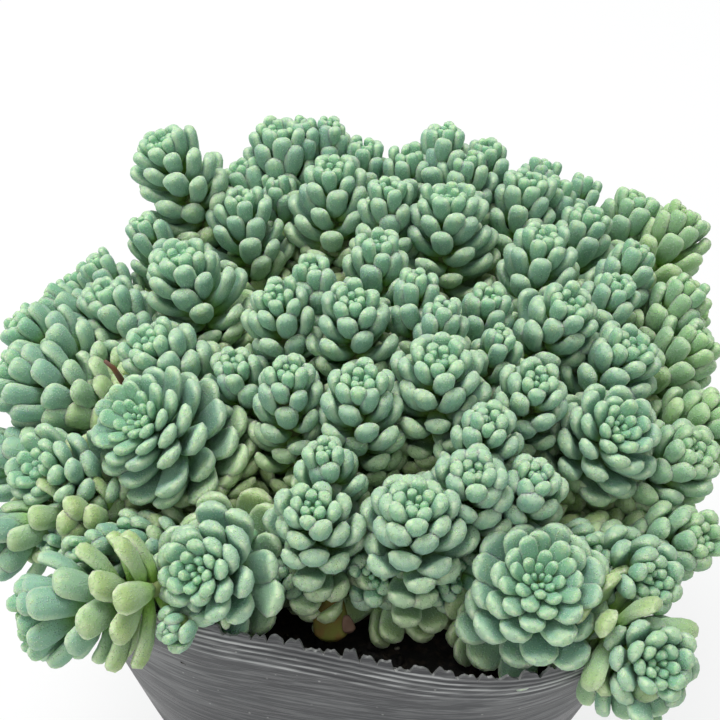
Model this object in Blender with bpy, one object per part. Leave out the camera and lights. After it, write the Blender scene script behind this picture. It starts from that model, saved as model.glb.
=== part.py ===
"""Potted sedum: an overgrown cushion of plump-leaved shoots in a soft nursery pot.

The pieces are the pot, its soil, the branching stems that stand on the soil, and a leafy
head, or rosette, at the end of each stem. The design is in millimetres and degrees, and
the scene in metres. +Z is up and -Y is the front. The origin is the middle of the foot.
"""

from math import cos, pi, radians, sin

import bmesh
import bpy
import numpy as np

MM = 0.001
SHARP_ANGLE = 40.0

# The pot: a film wall that tapers to a round foot, pushed out of round by the plant.
POT_HEIGHT = 75.0
RIM_RADIUS = 46.0
RIM_CENTRE = (0.5, -5.0)
OVAL, OVAL_ANGLE = 0.05, 171.0
THREE_SIDED, THREE_SIDED_ANGLE = 0.09, 80.0
RIM_RISE, RIM_RISE_ANGLE = 5.0, 200.0
RIM_TOOTH = 0.5
FOOT_RADIUS = 33.5
WALL_BULGE = 1.3
WALL = 0.6
WALL_SIDES = 40
WALL_LEVELS = (0.0, 0.06, 0.2, 0.4, 0.6, 0.8, 0.96, 1.0)
DRAIN_HOLES, DRAIN_RING, DRAIN_RADIUS, DRAIN_SIDES = 6, 20.0, 3.5, 12
DRAIN_CUT = (-2 * WALL, 3 * WALL)
POT_CLEARANCE = 1.2

# The soil: a plug with a lumpy top.
GAP = 0.3
SOIL_TOP = 66.0
SOIL_LUMP = 0.5
SOIL_CLEARANCE = 2.0
PLUG_LEVELS = (0.8, 0.6, 0.4, 0.2)
PLUG_RINGS = (0.3, 0.55, 0.8)
CROWN_SEAT = 0.4

# Stems: each group branches from a crown on the soil.
CROWN_RING = 20.0
CROWN_RADIUS, CROWN_HEIGHT, CROWN_SIDES = 5.0, 4.5, 8
# Height along a crown and share of its radius there.
CROWN_OUTLINE = ((0.6, 0.8), (1.0, 0.4))
CROWNS = {
    "right_back": 30,
    "back": 90,
    "left_back": 150,
    "left_front": 210,
    "front": 270,
    "right_front": 330,
}
STEM_RADIUS = 1.2
STEM_FLARE = 1.3
STEM_SIDES = 5
STEM_STEPS = 4
STEM_BEND = 14.0
STEM_CLEARANCE = 0.9
# How far from its middle a stem leaves the crown, and how high, the higher the longer it is.
FOOT_OUT, FOOT_UP, FOOT_RISE = 0.4, 0.3, 0.03
# How strongly a stem's curve is drawn along its two ends, as shares of its span.
FOOT_PULL, HEAD_PULL, RIDGE_PULL, OVER_PULL = 0.7, 0.8, 0.6, 0.5
RIDGE_DROP = 0.2
RIM_CLEARANCE = 3.0
LOW_HEAD = 4 * RIM_CLEARANCE

# Rosettes: tip x and y, tip height above POT_HEIGHT, lean from upright, the way that it
# leans (0 is +X, 90 the back), width of the head, leafy length.
ROSETTES = {
    "front": [
        (26, -39, 13, 22, 275, 21, 16),
        (8, -32, 22, 8, 275, 15, 20),
        (-7, -32, 21, 14, 260, 13, 16),
        (-24, -40, 15, 42, 244, 17, 14),
        (17, -27, 23, 14, 285, 12, 15),
        (26, -26, 21, 18, 300, 9, 13),
    ],
    "left": [
        (-35, -16, 23, 36, 210, 21, 18),
        (-50, -20, 16, 42, 208, 15, 14),
        (-50, -42, 6, 99, 190, 16, 18),
        (-61, -30, 10, 72, 203, 11, 10),
        (-61, -12, 10, 72, 182, 12, 12),
        (-58, -1, 19, 58, 175, 14, 17),
        (-34, -2, 26, 28, 185, 14, 14),
        (-54, 19, 17, 55, 165, 10, 14),
        (-43, 14, 23, 25, 160, 12, 15),
    ],
    "crown": [
        (12, -11, 31, 6, 280, 14, 16),
        (0, -15, 30, 4, 270, 12, 20),
        (-11, -13, 30, 4, 250, 10, 18),
        (-1, 0, 33, 3, 250, 12, 15),
        (-13, 2, 32, 8, 220, 11, 17),
        (19, -20, 26, 15, 290, 10, 12),
        (27, -12, 27, 14, 300, 11, 16),
        (21, 9, 26, 8, 20, 10, 12),
        (3, 14, 33, 5, 90, 10, 14),
    ],
    "right": [
        (40, -16, 21, 28, 310, 17, 16),
        (34, 6, 27, 20, 345, 13, 15),
        (44, -36, 8, 50, 300, 14, 12),
        (43, -49, 5, 40, 290, 14, 8),
        (53, -27, 8, 45, 330, 12, 14),
        (53, -14, 14, 35, 340, 14, 16),
        (60, -4, 12, 45, 355, 14, 17),
        (44, 2, 22, 24, 0, 14, 17),
        (58, 12, 15, 38, 15, 12, 16),
        (48, 25, 23, 25, 30, 10, 14),
    ],
    "back": [
        (15, 30, 31, 6, 80, 15, 16),
        (31, 24, 27, 12, 50, 13, 15),
        (30, 42, 26, 16, 55, 12, 13),
        (52, 48, 17, 30, 45, 13, 13),
        (41, 38, 21, 22, 45, 12, 14),
        (60, 42, 18, 35, 35, 12, 14),
        (-35, 40, 35, 22, 170, 14, 22),
        (-21, 35, 27, 12, 120, 12, 16),
        (-15, 50, 31, 14, 105, 13, 13),
        (-5, 38, 31, 8, 95, 13, 17),
        (-30, 16, 29, 16, 165, 15, 17),
    ],
    "rear": [
        (2, 60, 12, 55, 90, 13, 16),
        (24, 58, 10, 55, 70, 12, 15),
        (44, 46, 4, 60, 45, 12, 13),
        (61, 28, 8, 55, 25, 11, 15),
        (-20, 58, 11, 55, 110, 13, 16),
        (-38, 48, 12, 50, 130, 12, 15),
        (-52, 33, 11, 50, 150, 12, 15),
    ],
}
HEAD_SPREAD = 1.12
LEAFY_STRETCH = {"front": 1.0, "left": 1.05, "crown": 1.25, "right": 1.1, "back": 1.3, "rear": 1.1}
LEAVES_ROUND = 5
# Height along a rosette and share of its half width there, from its base to near its tip.
OUTLINE = ((0.0, 0.16), (0.13, 0.56), (0.3, 0.88), (0.52, 1.0), (0.72, 0.92), (0.88, 0.64), (0.97, 0.3))
LEAF_RELIEF = 0.22
LEAF_LIFT = 0.06
# A rosette's core runs between these shares of its half width in from its two ends.
CORE_LOW, CORE_HIGH, CORE_MOST = 0.35, 0.75, 0.4
CROWDING = 0.12
NEAR = 45.0
LEAST_SIZE, SIZE_STEP = 0.1, 0.05

FILM = ((0.045, 0.047, 0.05), 0.5)
EARTH = ((0.02, 0.017, 0.014), 0.95)
BARK = ((0.3, 0.34, 0.16), 0.7)
LEAF = ((0.3, 0.45, 0.34), 0.6)


def clear_scene():
    for old in list(bpy.data.objects):
        bpy.data.objects.remove(old)


def material(name, look):
    colour, roughness = look
    made = bpy.data.materials.new(name)
    made.use_nodes = True
    shader = made.node_tree.nodes["Principled BSDF"]
    shader.inputs["Base Color"].default_value = (*colour, 1)
    shader.inputs["Roughness"].default_value = roughness
    shader.inputs["Metallic"].default_value = 0
    made.diffuse_color = (*colour, 1)
    return made


def place(name, points, faces, look):
    """Makes one object from points in millimetres, with its faces turned outwards."""
    mesh = bpy.data.meshes.new(name)
    mesh.from_pydata([tuple(point) for point in np.asarray(points) * MM], [], faces)
    shell = bmesh.new()
    shell.from_mesh(mesh)
    bmesh.ops.recalc_face_normals(shell, faces=shell.faces)
    shell.to_mesh(mesh)
    shell.free()
    mesh.shade_smooth()
    mesh.set_sharp_from_angle(angle=radians(SHARP_ANGLE))
    mesh.materials.append(material(name, look))
    solid = bpy.data.objects.new(name, mesh)
    bpy.context.scene.collection.objects.link(solid)
    return solid


def ring_faces(rings, sides):
    """Quads between rings of points that follow one another, and a flat cap at each end."""
    faces = [list(range(sides))[::-1], [(rings - 1) * sides + side for side in range(sides)]]
    for ring in range(rings - 1):
        for side in range(sides):
            after = (side + 1) % sides
            low, high = ring * sides, (ring + 1) * sides
            faces.append([low + side, low + after, high + after, high + side])
    return faces


def rim_radius(angle):
    oval = OVAL * np.cos(2 * (angle - radians(OVAL_ANGLE)))
    three_sided = THREE_SIDED * np.cos(3 * (angle - radians(THREE_SIDED_ANGLE)))
    return RIM_RADIUS * (1 + oval + three_sided)


def rim_height(angle):
    return POT_HEIGHT + RIM_RISE * np.cos(angle - radians(RIM_RISE_ANGLE))


def wall_radius(angle, down):
    """Outer radius of the wall, down from 0 at the rim to 1 at the foot."""
    straight = rim_radius(angle) * (1 - down) + FOOT_RADIUS * down
    return straight + WALL_BULGE * 4 * down * (1 - down)


def wall_ring(down, inset=0.0, lift=0.0):
    """One ring of points on the wall, set in from its outer face."""
    angle = np.arange(WALL_SIDES) * 2 * pi / WALL_SIDES
    radius = wall_radius(angle, down) - inset
    x = RIM_CENTRE[0] * (1 - down) + radius * np.cos(angle)
    y = RIM_CENTRE[1] * (1 - down) + radius * np.sin(angle)
    return np.stack([x, y, rim_height(angle) * (1 - down) + lift], axis=1)


def rim_teeth():
    return RIM_TOOTH * (-1) ** np.arange(WALL_SIDES)


def build_pot():
    outer = [wall_ring(down) for down in WALL_LEVELS]
    inner = [wall_ring(down, inset=WALL) for down in WALL_LEVELS]
    outer[0][:, 2] += rim_teeth()
    inner[0][:, 2] += rim_teeth()
    inner[-1][:, 2] = WALL
    inner[-2][:, 2] += WALL
    rings = outer[::-1] + inner
    pot = place("pot", np.concatenate(rings), ring_faces(len(rings), WALL_SIDES), FILM)
    cut_drain_holes(pot)


def cut_drain_holes(pot):
    points, faces = [], []
    for hole in range(DRAIN_HOLES):
        middle = hole * 2 * pi / DRAIN_HOLES
        start = len(points)
        for height in DRAIN_CUT:
            for side in range(DRAIN_SIDES):
                angle = side * 2 * pi / DRAIN_SIDES
                x = DRAIN_RING * cos(middle) + DRAIN_RADIUS * cos(angle)
                y = DRAIN_RING * sin(middle) + DRAIN_RADIUS * sin(angle)
                points.append((x, y, height))
        faces += [[start + corner for corner in face] for face in ring_faces(2, DRAIN_SIDES)]
    cutter = place("drain_hole_cutter", points, faces, FILM)
    cutter.hide_render = True
    cutter.display_type = "WIRE"
    cut = pot.modifiers.new("drain_holes", "BOOLEAN")
    cut.object = cutter
    cut.operation = "DIFFERENCE"


def soil_height(x, y):
    """Lumpy, but level along the ring where the crowns stand."""
    lumps = np.sin(0.41 * x + 1.3) * np.cos(0.37 * y) + np.sin(0.23 * (x - y))
    from_ring = (np.hypot(x, y - RIM_CENTRE[1]) - CROWN_RING) / CROWN_RADIUS
    return SOIL_TOP + SOIL_LUMP * lumps * (1 - np.exp(-(from_ring**2)))


def build_soil():
    """The plug follows the inside of the wall, a gap clear of it."""
    inset = WALL + GAP
    floor = wall_ring(1.0, inset=inset, lift=WALL + GAP)
    levels = [floor]
    for down in PLUG_LEVELS:
        levels.append(wall_ring(down, inset=inset))
    angle = np.arange(WALL_SIDES) * 2 * pi / WALL_SIDES
    edge = wall_ring(0.0, inset=inset)
    share = SOIL_TOP / rim_height(angle)
    rest = PLUG_LEVELS[-1]
    shoulder = levels[-1] + (edge - levels[-1]) * ((share - 1 + rest) / rest)[:, None]
    levels.append(shoulder)
    middle = shoulder.mean(axis=0)
    for inward in PLUG_RINGS:
        ring = shoulder + (middle - shoulder) * inward
        ring[:, 2] = soil_height(ring[:, 0], ring[:, 1])
        levels.append(ring)
    place("soil", np.concatenate(levels), ring_faces(len(levels), WALL_SIDES), EARTH)


class Rosette:
    """A rosette's axis, from its base at the stem to its tip."""

    def __init__(self, name, plan, stretch):
        x, y, rise, lean, facing, width, length = plan
        tilt, way = radians(lean), radians(facing)
        self.name = name
        self.axis = np.array([sin(tilt) * cos(way), sin(tilt) * sin(way), cos(tilt)])
        self.tip = np.array([x, y, POT_HEIGHT + rise], float)
        self.length = length * stretch
        self.base = self.tip - self.axis * self.length
        self.half = width / 2 * HEAD_SPREAD
        side = np.cross(self.axis, [cos(way), sin(way), -1.0])
        self.side = side / np.linalg.norm(side)
        self.front = np.cross(self.axis, self.side)

    def share_of_half(self, points):
        """Distance from the rosette's core, as a share of its half width."""
        low = self.base + self.axis * min(CORE_LOW * self.half, CORE_MOST * self.length)
        high = self.tip - self.axis * min(CORE_HIGH * self.half, CORE_MOST * self.length)
        along = np.clip((points - low) @ (high - low) / np.sum((high - low) ** 2), 0, 1)
        return np.linalg.norm(points - low - along[:, None] * (high - low), axis=1) / self.half


def all_rosettes():
    return [
        Rosette(f"{region}_rosette_{number}", plan, LEAFY_STRETCH[region])
        for region, plans in ROSETTES.items()
        for number, plan in enumerate(plans, 1)
    ]


def crown_point(place_angle):
    way = radians(place_angle)
    return np.array([CROWN_RING * cos(way), CROWN_RING * sin(way) + RIM_CENTRE[1], SOIL_TOP])


def crown_of(rosette):
    """The nearest crown on the soil carries the rosette."""
    away = {name: np.linalg.norm(crown_point(a) - rosette.base) for name, a in CROWNS.items()}
    return min(away, key=away.get)


def bow(start, leaving, end, arriving, steps):
    """Points on a smooth curve that leaves and arrives along the two directions given."""
    t = np.linspace(0, 1, steps + 1)[:, None]
    return (
        (2 * t**3 - 3 * t**2 + 1) * start
        + (t**3 - 2 * t**2 + t) * leaving
        + (3 * t**2 - 2 * t**3) * end
        + (t**3 - t**2) * arriving
    )


def stem_path(rosette, crown):
    """From under the rosette, over the rim where the rosette hangs outside it, to the crown."""
    top = rosette.base - rosette.axis * GAP
    start = top - rosette.axis * STEM_RADIUS
    span = np.linalg.norm(crown - start)
    toward = (start - crown) / span * [1, 1, 0]
    foot = crown + toward * CROWN_RADIUS * FOOT_OUT + [0, 0, CROWN_HEIGHT * FOOT_UP + FOOT_RISE * span]
    out = start[:2] - RIM_CENTRE
    angle = np.arctan2(out[1], out[0])
    over = np.linalg.norm(out) > rim_radius(angle) + WALL
    low = start[2] < rim_height(angle) + LOW_HEAD
    if not (over and low):
        leaving = -rosette.axis * min(span, STEM_BEND)
        rest = bow(start, leaving, foot, np.array([0, 0, -FOOT_PULL]) * span, STEM_STEPS)
        return np.concatenate([[top], rest])
    outward = np.array([cos(angle), sin(angle), 0])
    ridge = outward * rim_radius(angle) + [*RIM_CENTRE, rim_height(angle) + RIM_CLEARANCE]
    reach = np.linalg.norm(ridge - start)
    inward = -outward + [0, 0, -RIDGE_DROP]
    first = bow(start, -rosette.axis * reach * HEAD_PULL, ridge, inward * reach, STEM_STEPS // 2)
    arriving = np.array([0, 0, -OVER_PULL]) * span
    rest = bow(ridge, inward * span * RIDGE_PULL, foot, arriving, STEM_STEPS - 1)
    return np.concatenate([[top], first, rest[1:]])


def tube(path, radii, sides):
    """Rings of points square to a path, and the faces that close them."""
    along = np.gradient(path, axis=0)
    along /= np.linalg.norm(along, axis=1)[:, None]
    side = np.cross(along[0], [0.3, 0.2, 1.0])
    rings = []
    for point, way, radius in zip(path, along, radii):
        side = side - way * (side @ way)
        side /= np.linalg.norm(side)
        other = np.cross(way, side)
        angle = np.arange(sides) * 2 * pi / sides
        rings.append(point + radius * (np.outer(np.cos(angle), side) + np.outer(np.sin(angle), other)))
    return np.concatenate(rings), ring_faces(len(path), sides)


def build_stems(paths):
    """Each crown and the stems that branch from it are joined in one body."""
    for name, place_angle in CROWNS.items():
        middle = crown_point(place_angle)
        heights = [GAP + CROWN_SEAT] + [CROWN_HEIGHT * height for height, share in CROWN_OUTLINE]
        radii = [CROWN_RADIUS] + [CROWN_RADIUS * share for height, share in CROWN_OUTLINE]
        points, faces = tube(middle + np.outer(heights, [0, 0, 1.0]), radii, CROWN_SIDES)
        crown = place(f"stems_{name}", points, faces, BARK)
        branches = bpy.data.collections.new(f"branches_{name}")
        bpy.context.scene.collection.children.link(branches)
        for owner, stem in paths[name]:
            radii = np.linspace(STEM_RADIUS, STEM_RADIUS * STEM_FLARE, len(stem))
            points, faces = tube(stem, radii, STEM_SIDES)
            branch = place(f"branch_{owner}", points, faces, BARK)
            bpy.context.scene.collection.objects.unlink(branch)
            branches.objects.link(branch)
            branch.hide_render = True
            branch.display_type = "WIRE"
        join = crown.modifiers.new("branches", "BOOLEAN")
        join.operation = "UNION"
        join.operand_type = "COLLECTION"
        join.collection = branches


def clear_of_pot(points):
    """True where a point is above the soil and not in the film of the pot or close to it."""
    down = 1 - points[:, 2] / POT_HEIGHT
    x = points[:, 0] - RIM_CENTRE[0] * (1 - down)
    y = points[:, 1] - RIM_CENTRE[1] * (1 - down)
    angle = np.arctan2(y, x)
    down = 1 - points[:, 2] / rim_height(angle)
    radius = np.hypot(x, y)
    outside = radius > wall_radius(angle, down) + POT_CLEARANCE
    inside = radius < wall_radius(angle, down) - WALL - POT_CLEARANCE
    above = points[:, 2] > rim_height(angle) + RIM_TOOTH + POT_CLEARANCE
    return (above | outside | inside) & ((points[:, 2] > SOIL_TOP + SOIL_CLEARANCE) | outside)


def clear_of_stems(points, stems):
    """True where a point is a gap away from each stem's path."""
    clear = np.ones(len(points), bool)
    for stem in stems:
        for start, end in zip(stem[:-1], stem[1:]):
            step = end - start
            along = np.clip((points - start) @ step / (step @ step), 0, 1)
            away = np.linalg.norm(points - start - along[:, None] * step, axis=1)
            clear &= away > STEM_RADIUS * STEM_FLARE + STEM_CLEARANCE
    return clear


def build_rosette(rosette, others, stems):
    """A lobed head whose points draw in where a neighbour, a stem or the pot is in the way."""
    sides = 2 * LEAVES_ROUND
    angle = np.arange(sides) * 2 * pi / sides
    rings, feet = [], []
    for level, (height, share) in enumerate(OUTLINE):
        leaf = 0.5 + 0.5 * np.cos(LEAVES_ROUND * angle + level * pi)
        radius = rosette.half * share * (1 - LEAF_RELIEF * (1 - leaf))
        lift = LEAF_LIFT * rosette.half * 2 * leaf * share * (0 < level)
        foot = rosette.base + rosette.axis * rosette.length * height
        ring = np.outer(np.cos(angle), rosette.side) + np.outer(np.sin(angle), rosette.front)
        rings.append(foot + ring * radius[:, None] + np.outer(lift, rosette.axis))
        feet.append(np.tile(foot, (sides, 1)))
    points, feet = np.concatenate(rings), np.concatenate(feet)
    near = [other for other in others if np.linalg.norm(other.tip - rosette.tip) < NEAR]
    best = np.zeros(len(points))
    for size in np.arange(LEAST_SIZE, 1 + SIZE_STEP / 2, SIZE_STEP):
        trial = feet + size * (points - feet)
        free = clear_of_pot(trial) & clear_of_stems(trial, stems)
        own = rosette.share_of_half(trial)
        for other in near:
            free &= own < other.share_of_half(trial) - CROWDING
        grew = best > size - 1.2 * SIZE_STEP
        best = np.where(free & grew, size, np.maximum(best, LEAST_SIZE))
    points = feet + best[:, None] * (points - feet)
    faces = ring_faces(len(OUTLINE), sides)
    faces.pop(1)
    tip = len(points)
    last = (len(OUTLINE) - 1) * sides
    faces += [[last + side, last + (side + 1) % sides, tip] for side in range(sides)]
    place(rosette.name, np.concatenate([points, [rosette.tip]]), faces, LEAF)


def main():
    clear_scene()
    build_pot()
    build_soil()
    rosettes = all_rosettes()
    paths = {name: [] for name in CROWNS}
    for rosette in rosettes:
        crown = crown_of(rosette)
        paths[crown].append((rosette.name, stem_path(rosette, crown_point(CROWNS[crown]))))
    build_stems(paths)
    for rosette in rosettes:
        others = [other for other in rosettes if other is not rosette]
        stems = [stem for group in paths.values() for owner, stem in group if owner != rosette.name]
        build_rosette(rosette, others, stems)


main()
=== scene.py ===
# %% [markdown]
# # A potted sedum, from plain numbers to a finished picture
# A sedum is a small plant with thick, water-filled leaves. Each shoot ends in a leafy
# head, and an old plant is a cushion of such heads that spills over its pot. This lesson
# grows the heads leaf by leaf around a plain model that is already the right size. The
# plain model is loaded first and is never changed: each new piece stands in for one of
# its nodes.

from math import atan2, cos, degrees, hypot, pi, radians, sin

import bmesh
import bpy
import numpy as np
from mathutils import Matrix, Vector, noise


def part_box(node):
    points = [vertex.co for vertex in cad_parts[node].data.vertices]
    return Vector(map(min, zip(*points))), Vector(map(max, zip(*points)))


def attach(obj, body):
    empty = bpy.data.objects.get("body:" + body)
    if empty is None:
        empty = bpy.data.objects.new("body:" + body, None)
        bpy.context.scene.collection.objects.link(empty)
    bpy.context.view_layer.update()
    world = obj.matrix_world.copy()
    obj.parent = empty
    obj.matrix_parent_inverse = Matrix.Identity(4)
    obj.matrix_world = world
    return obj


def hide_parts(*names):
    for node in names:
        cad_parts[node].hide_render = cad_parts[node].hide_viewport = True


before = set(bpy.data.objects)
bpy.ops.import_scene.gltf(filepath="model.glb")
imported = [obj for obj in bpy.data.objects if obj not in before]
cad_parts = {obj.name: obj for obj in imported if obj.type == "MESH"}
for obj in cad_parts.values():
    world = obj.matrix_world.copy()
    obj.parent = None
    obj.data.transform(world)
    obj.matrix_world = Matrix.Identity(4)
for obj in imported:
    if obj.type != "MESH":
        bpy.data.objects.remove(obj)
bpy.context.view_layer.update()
print("nodes in the plain model:", len(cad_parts))

# %% [markdown]
# ## Units and chance
# Blender works in metres, but a leaf is easier to think of in millimetres, so every
# number below is in millimetres and degrees, and one function turns points into metres
# when it makes a piece. Chance comes from one seeded generator, so that each run grows
# the same plant.

# %% A maker of pieces
MM = 0.001
SEED = 11
ROOT_BODY = "root"
FLOOR_NAME = "floor"


def chance(*numbers):
    """A generator of its own for each thing that needs chance."""
    return np.random.default_rng([SEED, *numbers])


def make_piece(name, points, faces, finish, slot=None, values=None):
    """One object from points in millimetres; its slot argument is not used."""
    mesh = bpy.data.meshes.new(name)
    mesh.from_pydata((np.asarray(points) * MM).tolist(), [], faces)
    mesh.shade_smooth()
    for label, numbers in (values or {}).items():
        layer = mesh.attributes.new(label, "FLOAT", "POINT")
        layer.data.foreach_set("value", np.asarray(numbers, np.float32).ravel())
    mesh.materials.append(finish)
    piece = bpy.data.objects.new(name, mesh)
    bpy.context.scene.collection.objects.link(piece)
    if name != FLOOR_NAME:
        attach(piece, ROOT_BODY)
    return piece


print("one unit of these numbers is", MM, "m")

# %% [markdown]
# ## Materials as sums
# A material in Blender is a tree of nodes. Writing the tree as sums keeps it readable:
# a `Wire` is the output of a node, and adding or multiplying wires adds Math nodes.
# Colours never go through a Math node, which would turn them grey, so `blend` uses a
# Mix node.

# %% Wires and finishes
class Wire:
    """The output of a node in a tree, on which Python's operators work."""

    def __init__(self, tree, socket):
        self.tree = tree
        self.socket = socket

    def maths(self, operation, first, second):
        return self.tree.node("Math", {"operation": operation}, {0: first, 1: second})

    def __add__(self, other):
        return self.maths("ADD", self, other)

    def __sub__(self, other):
        return self.maths("SUBTRACT", self, other)

    def __rsub__(self, other):
        return self.maths("SUBTRACT", other, self)

    def __mul__(self, other):
        return self.maths("MULTIPLY", self, other)

    __radd__ = __add__
    __rmul__ = __mul__

    def rise(self, low, high):
        """0 below low, 1 above high, and smooth between them."""
        ends = {"Value": self, "From Min": low, "From Max": high}
        return self.tree.node("MapRange", {"interpolation_type": "SMOOTHSTEP"}, ends)


class Tree:
    """A tree of nodes, which belongs to a material or to the sky."""

    def __init__(self, owner):
        owner.use_nodes = True
        self.tree = owner.node_tree

    def node(self, kind, settings=None, sockets=None, out=0):
        """Adds a node: first its settings, then the values or wires of its sockets."""
        made = self.tree.nodes.new("ShaderNode" + kind)
        for setting, value in (settings or {}).items():
            setattr(made, setting, value)
        for socket, value in (sockets or {}).items():
            self.feed(made.inputs[socket], value)
        return Wire(self, made.outputs[out])

    def feed(self, socket, value):
        if isinstance(value, Wire):
            self.tree.links.new(value.socket, socket)
        else:
            socket.default_value = value


class Finish(Tree):
    """A material, with the tree that gives a surface its colour and its grain."""

    def __init__(self, name, constants):
        self.material = bpy.data.materials.new(name)
        super().__init__(self.material)
        self.shader = self.tree.nodes["Principled BSDF"]
        for socket, value in constants.items():
            self.shader.inputs[socket].default_value = value

    def wear(self, socket, value):
        self.feed(self.shader.inputs[socket], value)

    def label(self, name):
        """A number that make_piece stored at each point."""
        return self.node("Attribute", {"attribute_name": name}, out="Fac")

    def place(self, stretch=(1, 1, 1)):
        """Where a point is, in metres, with each axis stretched."""
        here = self.node("TexCoord", out="Object")
        return self.node("VectorMath", {"operation": "MULTIPLY"}, {0: here, 1: stretch})

    def grain(self, per_metre, detail=2.0, stretch=(1, 1, 1)):
        """Soft random patches, so many to a metre, from 0 to 1."""
        sockets = {"Vector": self.place(stretch), "Scale": per_metre, "Detail": detail}
        return self.node("TexNoise", {}, sockets)

    def dots(self, per_metre, stretch=(1, 1, 1)):
        """Distance from the nearest of many scattered dots."""
        sockets = {"Vector": self.place(stretch), "Scale": per_metre}
        return self.node("TexVoronoi", {}, sockets, out="Distance")

    def blend(self, share, first, second):
        """Colour from the first to the second as share goes from 0 to 1."""
        return self.node("Mix", {"data_type": "RGBA"}, {0: share, 6: first, 7: second}, out=2)

    def bump(self, height, depth, strength=1.0):
        """Raises the surface by height times depth in millimetres."""
        sockets = {"Height": height, "Distance": depth * MM, "Strength": strength}
        self.wear("Normal", self.node("Bump", {}, sockets))


def paint(red, green, blue):
    return (red, green, blue, 1.0)


print("materials are made of wires and finishes")

# %% [markdown]
# ## Rings of points
# The pot, the soil, a stem and a leaf are all rows of rings of points, one ring after
# another with faces between them, as a basket is woven round and round. Blender's own
# primitives would do for some of them, but rings give every point a known place round
# the shape and along it, which the materials use later.

# %% Rings and joins
def turns(sides):
    """Angles evenly spaced round a full turn."""
    return np.arange(sides) * 2 * pi / sides


def unit(rows):
    """The same directions, each of length 1."""
    return rows / np.linalg.norm(rows, axis=-1, keepdims=True)


def ring_quads(rings, sides, closed=False):
    """Quads between rings of points that follow one another."""
    side = np.arange(sides)
    after = (side + 1) % sides
    ring = np.arange(rings if closed else rings - 1)[:, None]
    low, high = ring * sides, ((ring + 1) % rings) * sides
    quads = np.stack([low + side, low + after, high + after, high + side], axis=-1)
    return quads.reshape(-1, 4)


def capped_quads(rings, sides):
    """The same, with one face over the first ring and one over the last."""
    last = (rings - 1) * sides
    caps = [list(range(sides))[::-1], list(range(last, last + sides))]
    return ring_quads(rings, sides).tolist() + caps


def join(shapes):
    """One shape from several, each of them points and faces."""
    starts = np.cumsum([0] + [len(shape[0]) for shape in shapes]).tolist()
    faces = [
        [start + corner for corner in face]
        for start, shape in zip(starts, shapes)
        for face in shape[1]
    ]
    return np.concatenate([shape[0] for shape in shapes]), faces


print("a tube of 3 rings with 8 sides has", len(capped_quads(3, 8)), "faces")

# %% [markdown]
# ## Camera, light and floor
# The camera stands where a person would, a hand's length from the plant and well above
# it. One wide lamp overhead gives soft shadows, the sky fills them, and together they
# light the plant at a plain level. The floor is white because it glows a little for the
# camera alone; on the plant it has the effect of plain white card.

# %% Camera
CAMERA_PLACE = Vector((0, -178.35, 254.59)) * MM
CAMERA_AIM = Vector((0, 0, 94)) * MM
CAMERA_LENS = 75.5
CAMERA_FILM = 36.0
NEAREST_SEEN = 10.0

camera_data = bpy.data.cameras.new("camera")
camera_data.lens = CAMERA_LENS
camera_data.sensor_width = CAMERA_FILM
camera_data.clip_start = NEAREST_SEEN * MM
camera = bpy.data.objects.new("camera", camera_data)
camera.location = CAMERA_PLACE
camera.rotation_euler = (CAMERA_AIM - CAMERA_PLACE).to_track_quat("-Z", "Y").to_euler()
bpy.context.scene.collection.objects.link(camera)
bpy.context.scene.camera = camera
bpy.context.scene.view_settings.view_transform = "Standard"
print("camera tilts down by", round(degrees(pi / 2 - camera.rotation_euler.x)), "degrees")

# %% Lamps and sky
LAMPS = {
    "softbox_overhead": {"place": (-120, 120, 800), "size": 380, "watts": 5.1},
    "softbox_front": {"place": (-420, -620, 520), "size": 380, "watts": 1.5},
}
LAMP_AIM = Vector((0, 0, 85)) * MM
SKY_COLOUR = paint(0.93, 0.97, 1.0)
SKY_STRENGTH = 0.535
WHITE = paint(1, 1, 1)


def hang_lamp(name, place, size, watts):
    data = bpy.data.lights.new(name, "AREA")
    data.energy = watts
    data.size = size * MM
    lamp = bpy.data.objects.new(name, data)
    lamp.location = Vector(place) * MM
    lamp.rotation_euler = (LAMP_AIM - lamp.location).to_track_quat("-Z", "Y").to_euler()
    bpy.context.scene.collection.objects.link(lamp)


def make_sky():
    """A pale sky that lights the plant, and looks white to the camera."""
    world = bpy.data.worlds.new("sky")
    bpy.context.scene.world = world
    sky = Tree(world)
    pale = sky.tree.nodes["Background"]
    pale.inputs["Color"].default_value = SKY_COLOUR
    pale.inputs["Strength"].default_value = SKY_STRENGTH
    seen = sky.node("Background", {}, {"Color": WHITE})
    by_camera = sky.node("LightPath", out="Is Camera Ray")
    mixed = sky.node("MixShader", {}, {0: by_camera, 1: Wire(sky, pale.outputs[0]), 2: seen})
    sky.feed(sky.tree.nodes["World Output"].inputs["Surface"], mixed)


for lamp_name, lamp_facts in LAMPS.items():
    hang_lamp(lamp_name, **lamp_facts)
make_sky()
print("lamps:", ", ".join(LAMPS))

# %% Floor
FLOOR_SIZE = 6000.0
FLOOR_GLOW = 0.8
CARD_WHITE = paint(0.86, 0.86, 0.85)


def make_floor():
    card = Finish("white_card", {"Base Color": CARD_WHITE, "Roughness": 0.8})
    rays = [card.node("LightPath", out=kind) for kind in ("Is Camera Ray", "Is Glossy Ray")]
    glow = card.node("Emission", {}, {"Color": WHITE, "Strength": 1.0})
    shader = Wire(card, card.shader.outputs[0])
    seen = (rays[0] + rays[1]) * FLOOR_GLOW
    mixed = card.node("MixShader", {}, {0: seen, 1: shader, 2: glow})
    card.feed(card.tree.nodes["Material Output"].inputs["Surface"], mixed)
    half = FLOOR_SIZE / 2
    corners = [(-half, -half, 0), (half, -half, 0), (half, half, 0), (-half, half, 0)]
    floor = make_piece(FLOOR_NAME, corners, [(0, 1, 2, 3)], card.material)
    print("floor:", FLOOR_SIZE * MM, "m wide")


make_floor()

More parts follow.
